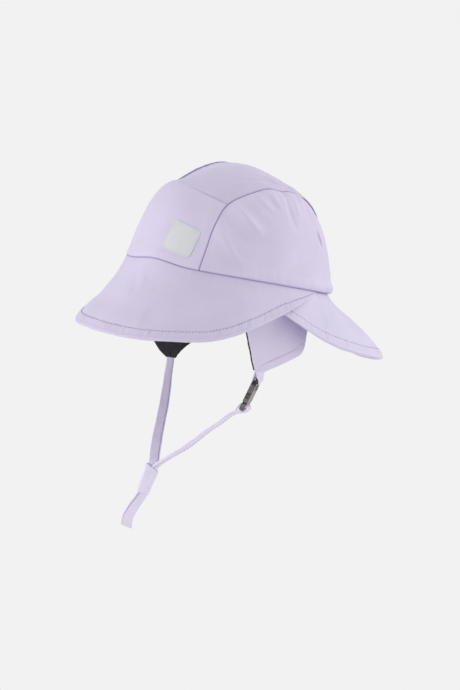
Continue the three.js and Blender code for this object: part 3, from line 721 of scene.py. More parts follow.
def brim_cloth(cloth, angle, away):
    """Outer face of a brim at angles round the band and distances up from its hem, the
    directions out of it, and its depth inside and painted shade."""
    table, inset, seed = cloth["table"], cloth["inset"], cloth["seed"]
    length = column(table, "angle", "length", angle)
    w = np.clip(1 - away / length, 0, 1)
    grid, outward = brim_surface(table, inset, angle, w)
    scale = np.minimum(1, length / FULL_HEM_LENGTH)
    run, root_run = np.radians(angle) * BRIM_RADIUS, w * length
    rise, inside, shade = hem_relief(away, scale, run, cloth["hem"] * scale, seed)
    plain = lambda a, b: brim_surface(table, inset, a, b)[0]
    body = folded(grid, plain, cloth["folds"])[0] + wavy(angle, w, seed)
    body += 0.3 * wander(grid, 30, seed + 1) + 0.10 * wander(grid, 12, seed + 2)
    body *= smooth(w * length / 10) * scale
    roll = np.exp(-((away - 14) / 12) ** 2) * np.clip((length - FULL_HEM_LENGTH) / 30, 0, 1)
    swell = np.exp(-((root_run - 31) / 13) ** 2) * smooth((length - 30) / 20)
    dip = root_run / 15 * np.exp(1 - root_run / 15) * smooth((length - 50) / 15)
    body += cloth["roll"] * roll + cloth["swell"] * swell - cloth["dip"] * dip
    root = 0.18 * puckers(run, root_run, reach=6, pitch=8, seed=seed + 3)
    rise = rise + body + root * smooth(root_run / 1.5)
    grid[..., 2] += 0.9 * SEAM_GAP * np.exp(-(root_run / 0.6) ** 2)
    # painted shade along the brim's root, under the crown's lower edge
    shade = np.maximum(shade, 0.8 * np.exp(-(root_run / 0.5) ** 2))
    behind = smooth((cos(radians(75)) + np.cos(np.radians(angle))) / -0.4)
    inside = inside + cloth["lip"] * behind * np.exp(-(away / 2.6) ** 4)
    return grid + outward * rise[..., None], outward, inside, shade


def make_brim(name, cloth, look, slot, looks):
    first, last = cloth["reach"]
    angle = lerp(first, last, graded(cloth["round"], 1.75, fine=(0, 0.3, 1)))
    length = column(cloth["table"], "angle", "length", angle)
    away = hem_rows(length, cloth["hem"], 1.7)
    angle, away = np.broadcast_arrays(angle[:, None], away)
    face, outward, inside, shade = brim_cloth(cloth, angle, away)
    back = face - outward * (cloth["wall"] + inside)[..., None]
    marks = {"painted_shade": shade, "wear": np.exp(-away / 0.9)}
    mesh = wall_mesh(name + "_cloth", pitched(face), pitched(back), (0.5, 0.5, 1, 0), marks)
    panel = dress(name + "_cloth", mesh, look, slot, name)
    angle = np.linspace(first + 1.5, last - 1.5, 1400)
    length = column(cloth["table"], "angle", "length", angle)
    seam = cloth["hem"] * np.minimum(1, length / FULL_HEM_LENGTH)
    line, outward, _, _ = brim_cloth(cloth, angle[None, :], seam[None, :])
    thread = looks[cloth["thread"]]
    stitches = sew(name + "_stitches", pitched(line[0]), pitched(outward[0]), thread, slot)


BRIM_CLOTH = {"table": FRONT_BRIM, "inset": BRIM_INSET, "wall": BRIM_WALL, "hem": BRIM_HEM,
              "folds": BRIM_FOLDS, "reach": (-118, 118), "round": 400, "roll": 2.6, "dip": 0,
              "swell": 1.4, "lip": 0, "seed": 21, "thread": "thread",
              "flat": (0.303, 0.141), "area": 0.01823,
              "sewn_to": ["crown_front_panel", "crown_side_panel_left", "crown_side_panel_right"]}
NECK_CLOTH = {"table": NECK_FLAP, "inset": NECK_INSET, "wall": FLAP_WALL, "hem": NECK_HEM,
              "folds": NECK_FOLDS, "reach": (79, 281), "round": 400, "roll": 0.8, "dip": 3.0,
              "swell": 0, "lip": 2.0, "seed": 31, "thread": "pale_thread",
              "flat": (0.243, 0.145), "area": 0.01802,
              "sewn_to": ["crown_top_panel", "crown_side_panel_left", "crown_side_panel_right"]}


def sew(name, line, outward, look, slot, pitch=STITCH_PITCH, length=STITCH_LENGTH, skip=0,
        radius=THREAD_RADIUS):
    """Row of stitches along a line on cloth, each one lying in the cloth at its ends."""
    run = runs(line[None, :, :], 1)[0]
    count = int((run[-1] - 2 * skip) / pitch)
    width = radius * np.array((0.35, 0.85, 1, 1, 0.85, 0.35))
    rows, around = len(width), 6
    along = np.linspace(-1, 1, rows)
    height = radius * (1.3 * np.sqrt(np.maximum(0, 1 - along ** 2)) - 0.55)
    turn = np.linspace(0, 2 * pi, around, endpoint=False)
    beside, above = (np.outer(width, f(turn))[..., None] for f in (np.cos, np.sin))
    verts, faces = [], []
    for k in range(count):
        place = skip + (k + 0.5) * pitch + along * length / 2
        middle, out = sampled(place, run, line), unit(sampled(place, run, outward))
        side = unit(np.cross(np.gradient(middle, axis=0), out))
        middle = middle + out * height[:, None]
        rings = middle[:, None, :] + side[:, None, :] * beside + out[:, None, :] * above
        verts.append(rings.reshape(-1, 3))
        number = (k * rows * around + np.arange(rows * around)).reshape(rows, around)
        ahead = np.roll(number, -1, 1)
        quads = np.stack((number[:-1], ahead[:-1], ahead[1:], number[1:]), -1)
        faces += quads.reshape(-1, 4).tolist()
        faces += [number[0, ::-1].tolist(), number[-1].tolist()]
    mesh = mesh_from(name, np.concatenate(verts), faces)
    return dress(name, mesh, look, slot)


def ear_outline(table, count=60):
    """Free edge of an ear flap from the front of its seam round to the back, as y and z."""
    z = np.linspace(table["z"][0], table["z"][-1], count)
    front = np.stack((column(table, "z", "front", z), z), -1)
    back = np.stack((column(table, "z", "back", z), z), -1)[::-1]
    foot = np.stack((np.linspace(front[-1, 0], back[0, 0], 9)[1:-1], np.full(7, z[-1])), -1)
    return np.concatenate((front, foot, back))


# where the ear flap's topstitching is, and how its cloth is raised below it
EAR_GROOVE, EAR_TURNED, EAR_BARE = 0.3, 0.22, 3
# how much shade is painted on an ear flap where the neck flap lies over it, and how far
# from the neck flap's hem
COVERED_SHADE, COVERED_REACH = 0.32, 13
EAR_SEED = 41


def ear_cloth(table, side, y, z):
    """Outer face of an ear flap at places y and z, the directions out of it, its distance from
    the free edge, and the shade painted on it."""
    grid, outward = ear_surface(table, side, y, z)
    edge = ear_outline(table)
    flat = points(0 * y, y, z)
    away, _ = distance_to(flat, points(0, edge[:, 0], edge[:, 1]))
    down = table["z"][0] - z
    front = column(table, "z", "front", z)
    heights = np.linspace(table["z"][0] * 0.3 + table["z"][-1] * 0.7, table["z"][-1], 30)
    lower, _ = distance_to(flat, points(0, column(table, "z", "back", heights), heights))
    clear = smooth((y - front - EAR_BARE) / EAR_BARE)
    hem = np.exp(-((lower - EAR_HEM) / 0.55) ** 2) * clear
    turned = smooth((EAR_HEM - lower) / 1.2) * clear
    seed = EAR_SEED + side
    rise = 0.35 * wander(grid, 26, seed) + 0.10 * wander(grid, 10, seed + 1)
    rise = rise * smooth(down / 12) - EAR_GROOVE * hem + EAR_TURNED * turned
    rise += 0.12 * puckers(y * 0.8 - z * 0.6, away, reach=5, pitch=6, seed=seed + 2)
    over = brim_surface(NECK_FLAP, NECK_INSET, np.linspace(80, 135, 24), np.ones(24))[0]
    covered, _ = distance_to(flat, points(0, over[:, 1], over[:, 2]))
    # painted shade on the ear flap under the neck flap's hem
    dark = COVERED_SHADE * np.exp(-(covered / COVERED_REACH) ** 2) * smooth(y / 20)
    shade = np.maximum(0.1 * hem, dark)
    return grid + outward * rise[..., None], outward, away, shade


def ear_places(table, step):
    """Grid of places y and z over an ear flap, close together at its edges."""
    z = lerp(table["z"][0], table["z"][-1], graded(75, step))[:, None]
    f = graded(60, step)[None, :]
    front, back = column(table, "z", "front", z), column(table, "z", "back", z)
    y, z = np.broadcast_arrays(lerp(front, back, f), z)
    return y, z


# the flat size and area in metres that each ear flap and its lining are cut to, and the height
# in mm at which the flap's topstitching starts
EAR_CUT = {
    "left": {"flat": (0.072, 0.0749), "area": 0.003884, "stitched_from": -52},
    "right": {"flat": (0.0762, 0.0852), "area": 0.005109, "stitched_from": -58},
}


def make_ears(looks):
    for side, where, table in ((1, "left", LEFT_EAR), (-1, "right", RIGHT_EAR)):
        y, z = ear_places(table, 0.9)
        face, outward, away, shade = ear_cloth(table, side, y, z)
        back = face - outward * FLAP_WALL
        name = f"ear_flap_{where}"
        marks = {"painted_shade": shade, "wear": np.exp(-away / 0.8)}
        mesh = wall_mesh(name + "_cloth", pitched(face), pitched(back), (0, 1, 1, 1), marks)
        flap = dress(name + "_cloth", mesh, looks["flap"], "flap_cloth", name)
        lining = make_lining(table, side, where, looks)
        stitches = stitch_ear(table, side, where, looks)


# how far the fleece shows ahead of the flap's front edge, how far it stays within its back edge,
# and its gap to the cloth
LINING_AHEAD, LINING_WITHIN, LINING_GAP = 0.5, 0.3, 0.15


def make_lining(table, side, where, looks):
    """Fleece behind an ear flap, level with its edges and just ahead of it in front."""
    name = f"ear_lining_{where}"
    y, z = ear_places(table, 0.8)
    front, back = column(table, "z", "front", z), column(table, "z", "back", z)
    y = lerp(front - LINING_AHEAD, back - LINING_WITHIN, (y - front) / (back - front))
    face, outward, _, _ = ear_cloth(table, side, y, z)
    pile = 0.16 * wander(face, size=3.2, seed=51) + 0.12 * wander(face, size=1.7, seed=52)
    top = face - outward * (FLAP_WALL + LINING_GAP)
    back = top - outward * (FLEECE_WALL + pile)[..., None]
    mesh = wall_mesh(name + "_fleece", pitched(top), pitched(back), (0, 1, 1, 1), {"pile": pile})
    return dress(name + "_fleece", mesh, looks["fleece"], "fleece", name)


def stitch_ear(table, side, where, looks):
    """Topstitching along the slanted lower edge of an ear flap."""
    z = np.linspace(EAR_CUT[where]["stitched_from"], table["z"][-1] + 1, 80)
    y = column(table, "z", "back", z)
    slant = unit(points(0 * y, np.gradient(y), np.gradient(z)))
    y, z = y + slant[:, 2] * EAR_HEM, z - slant[:, 1] * EAR_HEM
    inside = y > column(table, "z", "front", z) + 2
    y, z = y[inside], z[inside]
    line, outward, _, _ = ear_cloth(table, side, y[None, :], z[None, :])
    return sew(f"ear_flap_{where}_stitches", pitched(line[0]), pitched(outward[0]),
               looks["pale_thread"], "flap_cloth", skip=0.5)


# patch

def make_patch(looks):
    """Rounded square sewn on level but for its tilt, close to the front panel."""
    v, c, delta = PATCH["v"], PATCH["c"], 0.01
    middle = middle_surface(v, c)
    along, across = middle_surface(v + delta, c) - middle, middle_surface(v, c + delta) - middle
    out = unit(np.cross(across, along))
    level = unit(np.cross((0, 0, 1), out))
    level = level * cos(PATCH["tilt"]) + np.cross(out, level) * sin(PATCH["tilt"])
    up = np.cross(out, level)
    half, corner = PATCH["side"] / 2, PATCH["corner"]
    b = lerp(-half, half, graded(PATCH["side"], 0.8, fine=(0, 0.05, 0.2, 0.5, 0.9, 1.4, 2)))
    a = lerp(-1, 1, graded(PATCH["side"], 0.8, fine=(0, 0.1, 0.3, 0.7, 1.2)))
    into = np.maximum(0, np.abs(b) - (half - corner))
    reach = half - corner + np.sqrt(np.maximum(0.02, corner ** 2 - into ** 2))
    a = a[None, :] * reach[:, None]
    b = np.broadcast_to(b[:, None], a.shape)
    move = a[..., None] * level + b[..., None] * up
    skew = along @ across
    area = ((along @ along) * (across @ across) - skew ** 2) / delta
    shift_v = ((move @ along) * (across @ across) - (move @ across) * skew) / area
    shift_c = ((move @ across) * (along @ along) - (move @ along) * skew) / area
    grid = middle_surface(v + shift_v, c + shift_c)
    outward = crown_outward(grid)
    edge = np.minimum(half - np.abs(b), reach[:, None] - np.abs(a))
    rise = slow_relief(grid) + 0.05
    line = (edge - PATCH["line"]) ** 2
    puffed = PATCH["wall"] - 0.15 * np.exp(-line / 0.1) + 0.04 * wander(grid, size=9, seed=61)
    face = grid + outward * (rise + puffed)[..., None]
    back = grid + outward * rise[..., None]
    # painted shade along the pressed line inside the patch's edge
    marks = {"painted_shade": np.exp(-line / 0.12), "wear": np.exp(-edge / 0.4)}
    mesh = wall_mesh("reflective_film", pitched(face), pitched(back), (1, 1, 1, 1), marks)
    dress("reflective_film", mesh, looks["patch"], "reflective", "reflective_patch")


# straps

def along_path(path, step):
    """Even places along a path, their directions, and its other columns at each place."""
    knots = np.stack((path["x"], path["y"], path["z"]), -1).astype(float)
    gaps = np.sqrt(np.linalg.norm(np.diff(knots, axis=0), axis=1))
    table = dict(path, knot=np.concatenate(([0], np.cumsum(gaps))))
    fine = np.linspace(0, table["knot"][-1], 2000)
    line = points(*(column(table, "knot", axis, fine) for axis in ("x", "y", "z")))
    run = runs(line[None], 1)[0]
    even = np.linspace(0, run[-1], round(run[-1] / step) + 1)
    line = sampled(even, run, line)
    knot = np.interp(even, run, fine)
    others = {"turn": 0, "wide": 1, "roll": 0, "fold": 0.7}
    for key, usual in others.items():
        values = path.get(key, [usual] * len(knots))
        others[key] = np.interp(knot, table["knot"], values)
    return line, unit(np.gradient(line, axis=0)), others, even


# how far from its middle a tape's section is flat, and what is left for its rounded edges
TAPE_FLAT, TAPE_ROUND = 0.93, 0.07
TAPE_FOLD_STEPS = np.array((-0.11, -0.07, -0.035, 0, 0.035, 0.07, 0.11))


def tape_section(fold):
    """Outline of a folded tape seen from its end: across and through from -1 to 1, and how deep
    in the stitched fold of its face each point lies."""
    even = np.linspace(-TAPE_FLAT, TAPE_FLAT, 15)
    fine = np.clip(fold + TAPE_FOLD_STEPS, -TAPE_FLAT, TAPE_FLAT)
    face = np.sort(np.concatenate((even, fine)))
    end = np.linspace(-pi / 2, pi / 2, 7)[1:-1]
    across = np.concatenate((face[::-1], -TAPE_FLAT - TAPE_ROUND * np.cos(end), even,
                             TAPE_FLAT + TAPE_ROUND * np.cos(end)))
    through = np.concatenate((np.ones(len(face)), np.sin(-end), -np.ones(len(even)), np.sin(end)))
    groove = np.where(through > 0.9, np.exp(-((across - fold) / 0.05) ** 2), 0)
    return across, through, groove


def make_tape(name, path, width, wall, first, second, looks, seed, slant=0, stitched=True):
    """Tape folded from cloth along a path, its width turning from one direction to another."""
    line, along, path, run = along_path(path, 0.9)
    side = lerp(first, second, path["turn"][:, None])
    side = unit(side - along * (side * along).sum(-1, keepdims=True))
    through = np.cross(along, side)
    roll = np.radians(path["roll"])[:, None]
    side, through = (side * np.cos(roll) + through * np.sin(roll),
                     through * np.cos(roll) - side * np.sin(roll))
    across, level, groove = (np.array(k) for k in zip(*(tape_section(f) for f in path["fold"])))
    draw = np.random.default_rng(seed)
    ripple = 0.14 * np.sin(run / draw.uniform(2.6, 3.4))
    ripple += 0.10 * np.sin(run / draw.uniform(5, 7) + 1)
    narrow = path["wide"] * (1 - 0.02 * (1 + np.sin(run / draw.uniform(6, 9))))
    bunched = 1 + 0.9 * (1 - path["wide"])
    lens = 1 - 0.25 * across ** 2
    lip = 1 + 0.35 * np.exp(-((across - path["fold"][:, None] + 0.16) / 0.08) ** 2) * (level > 0.9)
    out = wall / 2 * bunched[:, None] * level * lens * lip * (1 - 0.8 * groove)
    out = out + ripple[:, None] * (0.4 + 0.6 * across ** 2)
    wide = width / 2 * across * narrow[:, None]
    rings = (line[:, None, :] + side[:, None, :] * wide[..., None]
             + through[:, None, :] * out[..., None])
    tail = smooth(1 - (run[-1] - run) / 6)[:, None] * slant * across / 2
    rings = rings + along[:, None, :] * tail[..., None]
    flat = np.stack(np.broadcast_arrays(width * (across / 2 + level), run[:, None]), -1)
    # painted shade in the groove of the stitched fold
    marks = {"painted_shade": 0.8 * groove, "wear": np.exp(-(1 - np.abs(across)) / 0.06),
             "inside": (level < -0.9) * 0.5}
    mesh = tube_mesh(name + "_cloth", rings, flat, {key: m.ravel() for key, m in marks.items()})
    dress(name + "_cloth", mesh, looks["strap"], "strap_cloth", name)
    if stitched:
        row = np.argmin(np.abs(across - path["fold"][:, None] + 0.14) + 9 * (level < 0.9), axis=1)
        seam = rings[np.arange(len(rings)), row]
        sew(name + "_stitches", seam, through, looks["pale_thread"], "strap_cloth", pitch=2.9,
            length=1.8, skip=2, radius=0.13)


KEEPER_AROUND, KEEPER_SQUARENESS, KEEPER_SLANT = 96, 4.5, 2.0
KEEPER_TAPER_WIDTH, KEEPER_TAPER_DEPTH = 1.6, 0.8


def make_keeper(looks):
    """Sleeve round both straps, tapering towards its lower end, its mouth lower on one side and
    with a seam down its face."""
    down = SLEEVE_DOWN
    out = np.cross(down, SLEEVE_ACROSS)
    length = np.linalg.norm(SLEEVE_BOTTOM - SLEEVE_TOP)
    share = graded(length, 0.8, fine=(0, 0.12, 0.35, 0.7))
    angle = np.linspace(0, 2 * pi, KEEPER_AROUND, endpoint=False)
    ones, power = np.ones(KEEPER_AROUND), KEEPER_SQUARENESS
    square = 1 / (np.abs(np.cos(angle)) ** power + np.abs(np.sin(angle)) ** power) ** (1 / power)
    rings, marks, flats = [], [], []
    for k, inner in ((share, 0), (share[::-1], 1)):
        for s in k:
            end = min(s, 1 - s) * length
            width = lerp(SLEEVE_WIDTH, SLEEVE_WIDTH - KEEPER_TAPER_WIDTH, smooth(s)) / 2
            depth = lerp(SLEEVE_DEPTH, SLEEVE_DEPTH - KEEPER_TAPER_DEPTH, s) / 2
            soft = 0.12 * np.sin(3 * angle + 5 * s) + 0.10 * np.sin(5 * angle - 9 * s + 1)
            ridge = np.exp(-(np.cos(angle) / 0.09) ** 2) * (np.sin(angle) < 0)
            beside = np.exp(-((np.cos(angle) - 0.24) / 0.08) ** 2) * (np.sin(angle) < 0)
            rim = 0.5 * SLEEVE_WALL * (1 - np.sqrt(1 - (1 - min(end / 0.7, 1)) ** 2))
            shrink = SLEEVE_WALL - rim if inner else rim
            body = soft * (1 - 0.8 * inner) + (0.3 * ridge - 0.35 * beside) * (1 - inner) - shrink
            x = (width + body) * square * np.cos(angle)
            y = (depth + body) * square * np.sin(angle)
            mouth = KEEPER_SLANT * (1 - s) ** 2 * (x / width)
            middle = SLEEVE_TOP + down * s * length
            rings.append(middle + SLEEVE_ACROSS * x[:, None] + out * y[:, None]
                         + down * mouth[:, None])
            # painted shade in the groove beside the seam ridge down the sleeve's face
            marks.append(np.stack((0.35 * beside * (1 - inner), ones * np.exp(-end / 0.5),
                                   ones * inner)))
            flats.append(np.stack((angle * 5, ones * s * length), -1))
    painted_shade, wear, inside = np.concatenate([m.T for m in marks]).T
    mesh = tube_mesh("strap_keeper_cloth", np.array(rings), np.array(flats),
                     {"painted_shade": painted_shade, "wear": wear, "inside": inside}, closed=True)
    dress("strap_keeper_cloth", mesh, looks["strap"], "strap_cloth", "strap_keeper")


def in_clip(along, out):
    """Places measured up the clip's length from its top edge, and outwards through it."""
    return CLIP_TOP + np.outer(along, CLIP_UP) + np.outer(out, CLIP_OUT)


def make_straps(looks):
    right_edge, left_edge = (pitched(unit(np.array((side * EAR_TURN, 1, 0.0)))) for side in (-1, 1))
    place = in_clip(CLIP_TAPE["along"], CLIP_TAPE["out"])
    tape = dict(CLIP_TAPE, x=place[:, 0], y=place[:, 1], z=place[:, 2])
    make_tape("clip_tape", tape, TAPE_WIDTH, TAPE_WALL, left_edge, CLIP_ACROSS, looks,
              seed=72, stitched=False)
    place = in_clip(STRAP_LOOP["along"], STRAP_LOOP["out"])
    count = len(place)
    left = {axis: [*place[:, k], *LEFT_STRAP[axis]] for k, axis in enumerate("xyz")}
    loop = {"turn": [0] * count, "wide": [1] * count, "roll": STRAP_LOOP["roll"],
            "fold": [0.7] * count}
    left |= {key: [*values, *LEFT_STRAP[key]] for key, values in loop.items()}
    make_tape("chin_strap_left", left, STRAP_WIDTH, STRAP_WALL, CLIP_ACROSS, SLEEVE_ACROSS, looks,
              slant=TAIL_SLANT, seed=73)
    make_tape("chin_strap_right", RIGHT_STRAP, STRAP_WIDTH, STRAP_WALL, right_edge, SLEEVE_ACROSS,
              looks, seed=74)
    make_keeper(looks)


# node groups and materials

def join(tree, node, inputs):
    """Gives a node's inputs a value each, or joins them to another node."""
    for key, value in inputs.items():
        if isinstance(value, bpy.types.NodeSocket):
            tree.links.new(value, node.inputs[key])
        else:
            node.inputs[key].default_value = value


def add(tree, kind, inputs=None, **settings):
    """New node, with its settings and inputs."""
    made = tree.nodes.new("ShaderNode" + kind)
    for key, value in settings.items():
        setattr(made, key, value)
    join(tree, made, inputs or {})
    return made


def maths(tree, operation, a, b=0.0, c=0.0, clamp=False):
    return add(tree, "Math", {0: a, 1: b, 2: c}, operation=operation, use_clamp=clamp).outputs[0]


def mix(tree, share, a, b):
    return add(tree, "Mix", {0: share, 6: a, 7: b}, data_type="RGBA").outputs[2]


def spread(tree, value, low, high, to_low=0.0, to_high=1.0):
    return add(tree, "MapRange", {"Value": value, "From Min": low, "From Max": high,
                                  "To Min": to_low, "To Max": to_high}).outputs[0]


def noise(tree, place, scale, detail, roughness=0.5):
    return add(tree, "TexNoise", {"Vector": place, "Scale": scale, "Detail": detail,
                                  "Roughness": roughness}).outputs[0]


def bump(tree, height, strength, distance, **over):
    return add(tree, "Bump", {"Strength": strength, "Distance": distance, "Height": height,
                              **over}).outputs[0]


def dot(tree, value, axis):
    made = add(tree, "VectorMath", {0: value, 1: tuple(axis)}, operation="DOT_PRODUCT")
    return made.outputs["Value"]


def on_piece(tree):
    return add(tree, "TexCoord").outputs["Object"]


def on_flat_cloth(tree):
    return add(tree, "UVMap", uv_map="flat_cloth").outputs[0]


def mark(tree, name):
    return add(tree, "Attribute", attribute_name=name).outputs["Fac"]


def new_group(name, inputs, outputs):
    """Empty node group with named number inputs and outputs; gives the tree and its ends."""
    tree = bpy.data.node_groups.new(name, "ShaderNodeTree")
    for key, value in inputs.items():
        socket = tree.interface.new_socket(key, in_out="INPUT", socket_type="NodeSocketFloat")
        socket.default_value = value
    for key in outputs:
        tree.interface.new_socket(key, in_out="OUTPUT", socket_type="NodeSocketFloat")
    return tree, tree.nodes.new("NodeGroupInput").outputs, tree.nodes.new("NodeGroupOutput")


def weave_group():
    """Plain weave of fine threads, over the flat cloth."""
    tree, given, end = new_group("fine weave", {"Spacing": 0.0004}, ("Height", "Tone"))
    place = add(tree, "SeparateXYZ", {0: on_flat_cloth(tree)}).outputs
    turn = maths(tree, "DIVIDE", 2 * pi, given["Spacing"])
    warp, weft = (maths(tree, "SINE", maths(tree, "MULTIPLY", place[k], turn)) for k in (0, 1))
    both = maths(tree, "MULTIPLY", warp, weft)
    stretch = add(tree, "Mapping", {"Vector": on_flat_cloth(tree), "Scale": (4000, 60, 1)})
    join(tree, end, {"Height": maths(tree, "MULTIPLY_ADD", both, 0.5, 0.5),
                     "Tone": noise(tree, stretch.outputs[0], 1.0, 2.0)})
    return tree


def mottling_group():
    """Uneven handled cloth: slow changes of tone, and small soft crumples."""
    tree, given, end = new_group("soft mottling", {"Size": 0.03}, ("Tone", "Height"))
    place = on_piece(tree)
    scale = maths(tree, "DIVIDE", 1.0, given["Size"])
    small = maths(tree, "MULTIPLY", scale, 5.0)
    join(tree, end, {"Tone": noise(tree, place, scale, 3.0, 0.55),
                     "Height": noise(tree, place, small, 4.0, 0.6)})
    return tree


def marks_group():
    """Where shade is painted in the cloth's seams, folds and hollows, where it is worn at its
    edges, and where it is inside.
    """
    tree, given, end = new_group("painted shade and wear marks", {"Spread": 0.5}, ("Painted_shade", "Wear", "Inside"))
    for key in ("Painted_shade", "Wear", "Inside"):
        value = mark(tree, key.lower())
        if key == "Painted_shade":
            value = maths(tree, "POWER", maths(tree, "MAXIMUM", value, 0.0), given["Spread"])
        join(tree, end, {key: maths(tree, "MULTIPLY", value, 1.0, clamp=True)})
    return tree


def use(tree, group, **inputs):
    return add(tree, "Group", inputs, node_tree=group).outputs


def tint(colour, amount=1.0):
    return tuple(min(1, k * amount) for k in colour) + (1.0,)


def mottled(tree, value, colour, dark, pale, low=0.3, high=0.7):
    """A colour that wanders between a darker and a paler tone, as a value goes from low to high."""
    return mix(tree, spread(tree, value, low, high), tint(colour, dark), tint(colour, pale))


def laid_over(tree, base, colour, most, value, low=0.0, high=1.0):
    """A colour over another, by a share that grows to most as a value goes from low to high."""
    return mix(tree, spread(tree, value, low, high, 0.0, most), base, colour)


def new_material(name):
    material = bpy.data.materials.new(name)
    material.use_nodes = True
    return material, material.node_tree, material.node_tree.nodes["Principled BSDF"]


def cloth_look(name, colour, groups, spacing=0.0004, size=0.03):
    """Coated woven cloth: even colour with soft mottling, painted shade in its seams, folds and
    hollows, paler at its edges, with a fine weave that shows close to."""
    material, tree, shader = new_material(name)
    weave = use(tree, groups["weave"], Spacing=spacing)
    mottling = use(tree, groups["mottling"], Size=size)
    marks = use(tree, groups["marks"], Spread=0.8)
    # seam: the cloth's colour darkened towards violet, as the painted shade in seams, folds and
    # hollows
    seam = tuple(k * share for k, share in zip(colour, (0.40, 0.32, 0.58)))
    base = mottled(tree, mottling["Tone"], colour, 0.965, 1.03)
    base = laid_over(tree, base, tint(colour, 0.80), 0.08, weave["Tone"], 0.3, 0.7)
    base = laid_over(tree, base, tint(colour, 1.12), 0.25, marks["Wear"])
    base = laid_over(tree, base, tint(seam), 0.85, marks["Painted_shade"])
    base = laid_over(tree, base, tint(colour, 0.86), 0.35, marks["Inside"], 0.4, 1)
    rough = maths(tree, "ADD", spread(tree, mottling["Height"], 0.3, 0.7, -0.05, 0.05), 0.6)
    low = bump(tree, mottling["Height"], 0.35, 0.0006)
    join(tree, shader, {
        "Base Color": base,
        "Roughness": rough,
        "Normal": bump(tree, weave["Height"], 0.35, 0.00008, Normal=low),
        "Sheen Weight": 0.25,
        "Sheen Roughness": 0.45,
        "Sheen Tint": (0.95, 0.92, 1.0, 1.0),
        "Specular IOR Level": 0.35,
    })
    return material


def thread_look(name, colour, groups):
    """Twisted sewing thread."""
    material, tree, shader = new_material(name)
    mottling = use(tree, groups["mottling"], Size=0.004)
    wound = add(tree, "TexWave", {"Scale": 900.0, "Distortion": 1.0}, bands_direction="DIAGONAL")
    twist = wound.outputs["Fac"]
    join(tree, shader, {
        "Base Color": mottled(tree, mottling["Tone"], colour, 0.9, 1.05),
        "Roughness": spread(tree, twist, 0, 1, 0.5, 0.7),
        "Normal": bump(tree, twist, 0.4, 0.00005),
    })
    return material


def fleece_look(colour, groups):
    """Brushed fleece: dark, with paler fibre ends."""
    material, tree, shader = new_material("brushed_fleece")
    mottling = use(tree, groups["mottling"], Size=0.006)
    fibre = noise(tree, on_piece(tree), 1400.0, 5.0, 0.7)
    high = maths(tree, "ADD", mark(tree, "pile"), fibre)
    base = mottled(tree, high, colour, 0.7, 1.9, 0.3, 1.2)
    base = laid_over(tree, base, tint(colour, 1.5), 0.4, mottling["Tone"], 0.35, 0.65)
    join(tree, shader, {
        "Base Color": base,
        "Roughness": spread(tree, fibre, 0.3, 0.7, 0.85, 1.0),
        "Normal": bump(tree, fibre, 0.8, 0.0006),
        "Sheen Weight": 0.2,
        "Sheen Roughness": 0.6,
        "Sheen Tint": (0.6, 0.57, 0.65, 1.0),
    })
    return material


def patch_look(colour, groups):
    """Silver-grey reflective film with its fine beads."""
    material, tree, shader = new_material("reflective_film")
    mottling = use(tree, groups["mottling"], Size=0.009)
    marks = use(tree, groups["marks"], Spread=1.0)
    beads = add(tree, "TexVoronoi", {"Vector": on_piece(tree), "Scale": 4500.0}).outputs["Distance"]
    base = mottled(tree, mottling["Tone"], colour, 0.96, 1.03)
    base = laid_over(tree, base, tint(colour, 0.8), 0.25, beads, 0, 0.6)
    # painted shade along the pressed line
    base = laid_over(tree, base, tint(colour, 0.72), 0.35, marks["Painted_shade"])
    join(tree, shader, {
        "Base Color": base,
        "Roughness": spread(tree, mottling["Height"], 0.3, 0.7, 0.38, 0.5),
        "Normal": bump(tree, beads, 0.3, 0.00006),
        "Metallic": 0.15,
    })
    return material


# near-black lines round the clip: the direction each is measured in, its place and its reach
CLIP_LINES = (
    {"axis": CLIP_OUT, "at": 2.9, "reach": 0.45},
    {"axis": CLIP_OUT, "at": -2.1, "reach": 0.35},
    {"axis": CLIP_UP, "at": -19.8, "reach": 0.4},
    {"axis": CLIP_UP, "at": -0.6, "reach": 2.6},
)


def plastic_look(groups):
    """Dark moulded plastic of the clip, with a painted reflection that makes its outer face paler.
    """
    material, tree, shader = new_material("moulded_plastic")
    mottling = use(tree, groups["mottling"], Size=0.003)
    place = on_piece(tree)
    grain = noise(tree, place, 1800.0, 4.0)
    # pale is the painted reflection of the light on the clip's outer face
    dark, pale, line = (0.125, 0.104, 0.112), (0.36, 0.335, 0.295), (0.008, 0.007, 0.009)
    base = mottled(tree, mottling["Tone"], dark, 0.7, 1.4, 0.35, 0.65)
    outer = spread(tree, dot(tree, add(tree, "NewGeometry").outputs["Normal"], CLIP_OUT), 0.45, 0.7)
    base = mix(tree, outer, base, tint(pale))
    for row in CLIP_LINES:
        middle = float(CLIP_TOP @ row["axis"]) + row["at"]
        away = maths(tree, "SUBTRACT", dot(tree, place, row["axis"] / MM), middle)
        away = maths(tree, "ABSOLUTE", away)
        near = spread(tree, away, row["reach"] * 0.6, row["reach"], 0.9, 0.0)
        share = maths(tree, "MULTIPLY", near, spread(tree, outer, 0, 0.5, 1.0, 0.25), clamp=True)
        base = mix(tree, share, base, tint(line))
    join(tree, shader, {
        "Base Color": base,
        "Roughness": spread(tree, grain, 0.3, 0.7, 0.36, 0.5),
        "Normal": bump(tree, grain, 0.25, 0.00012),
    })
    return material


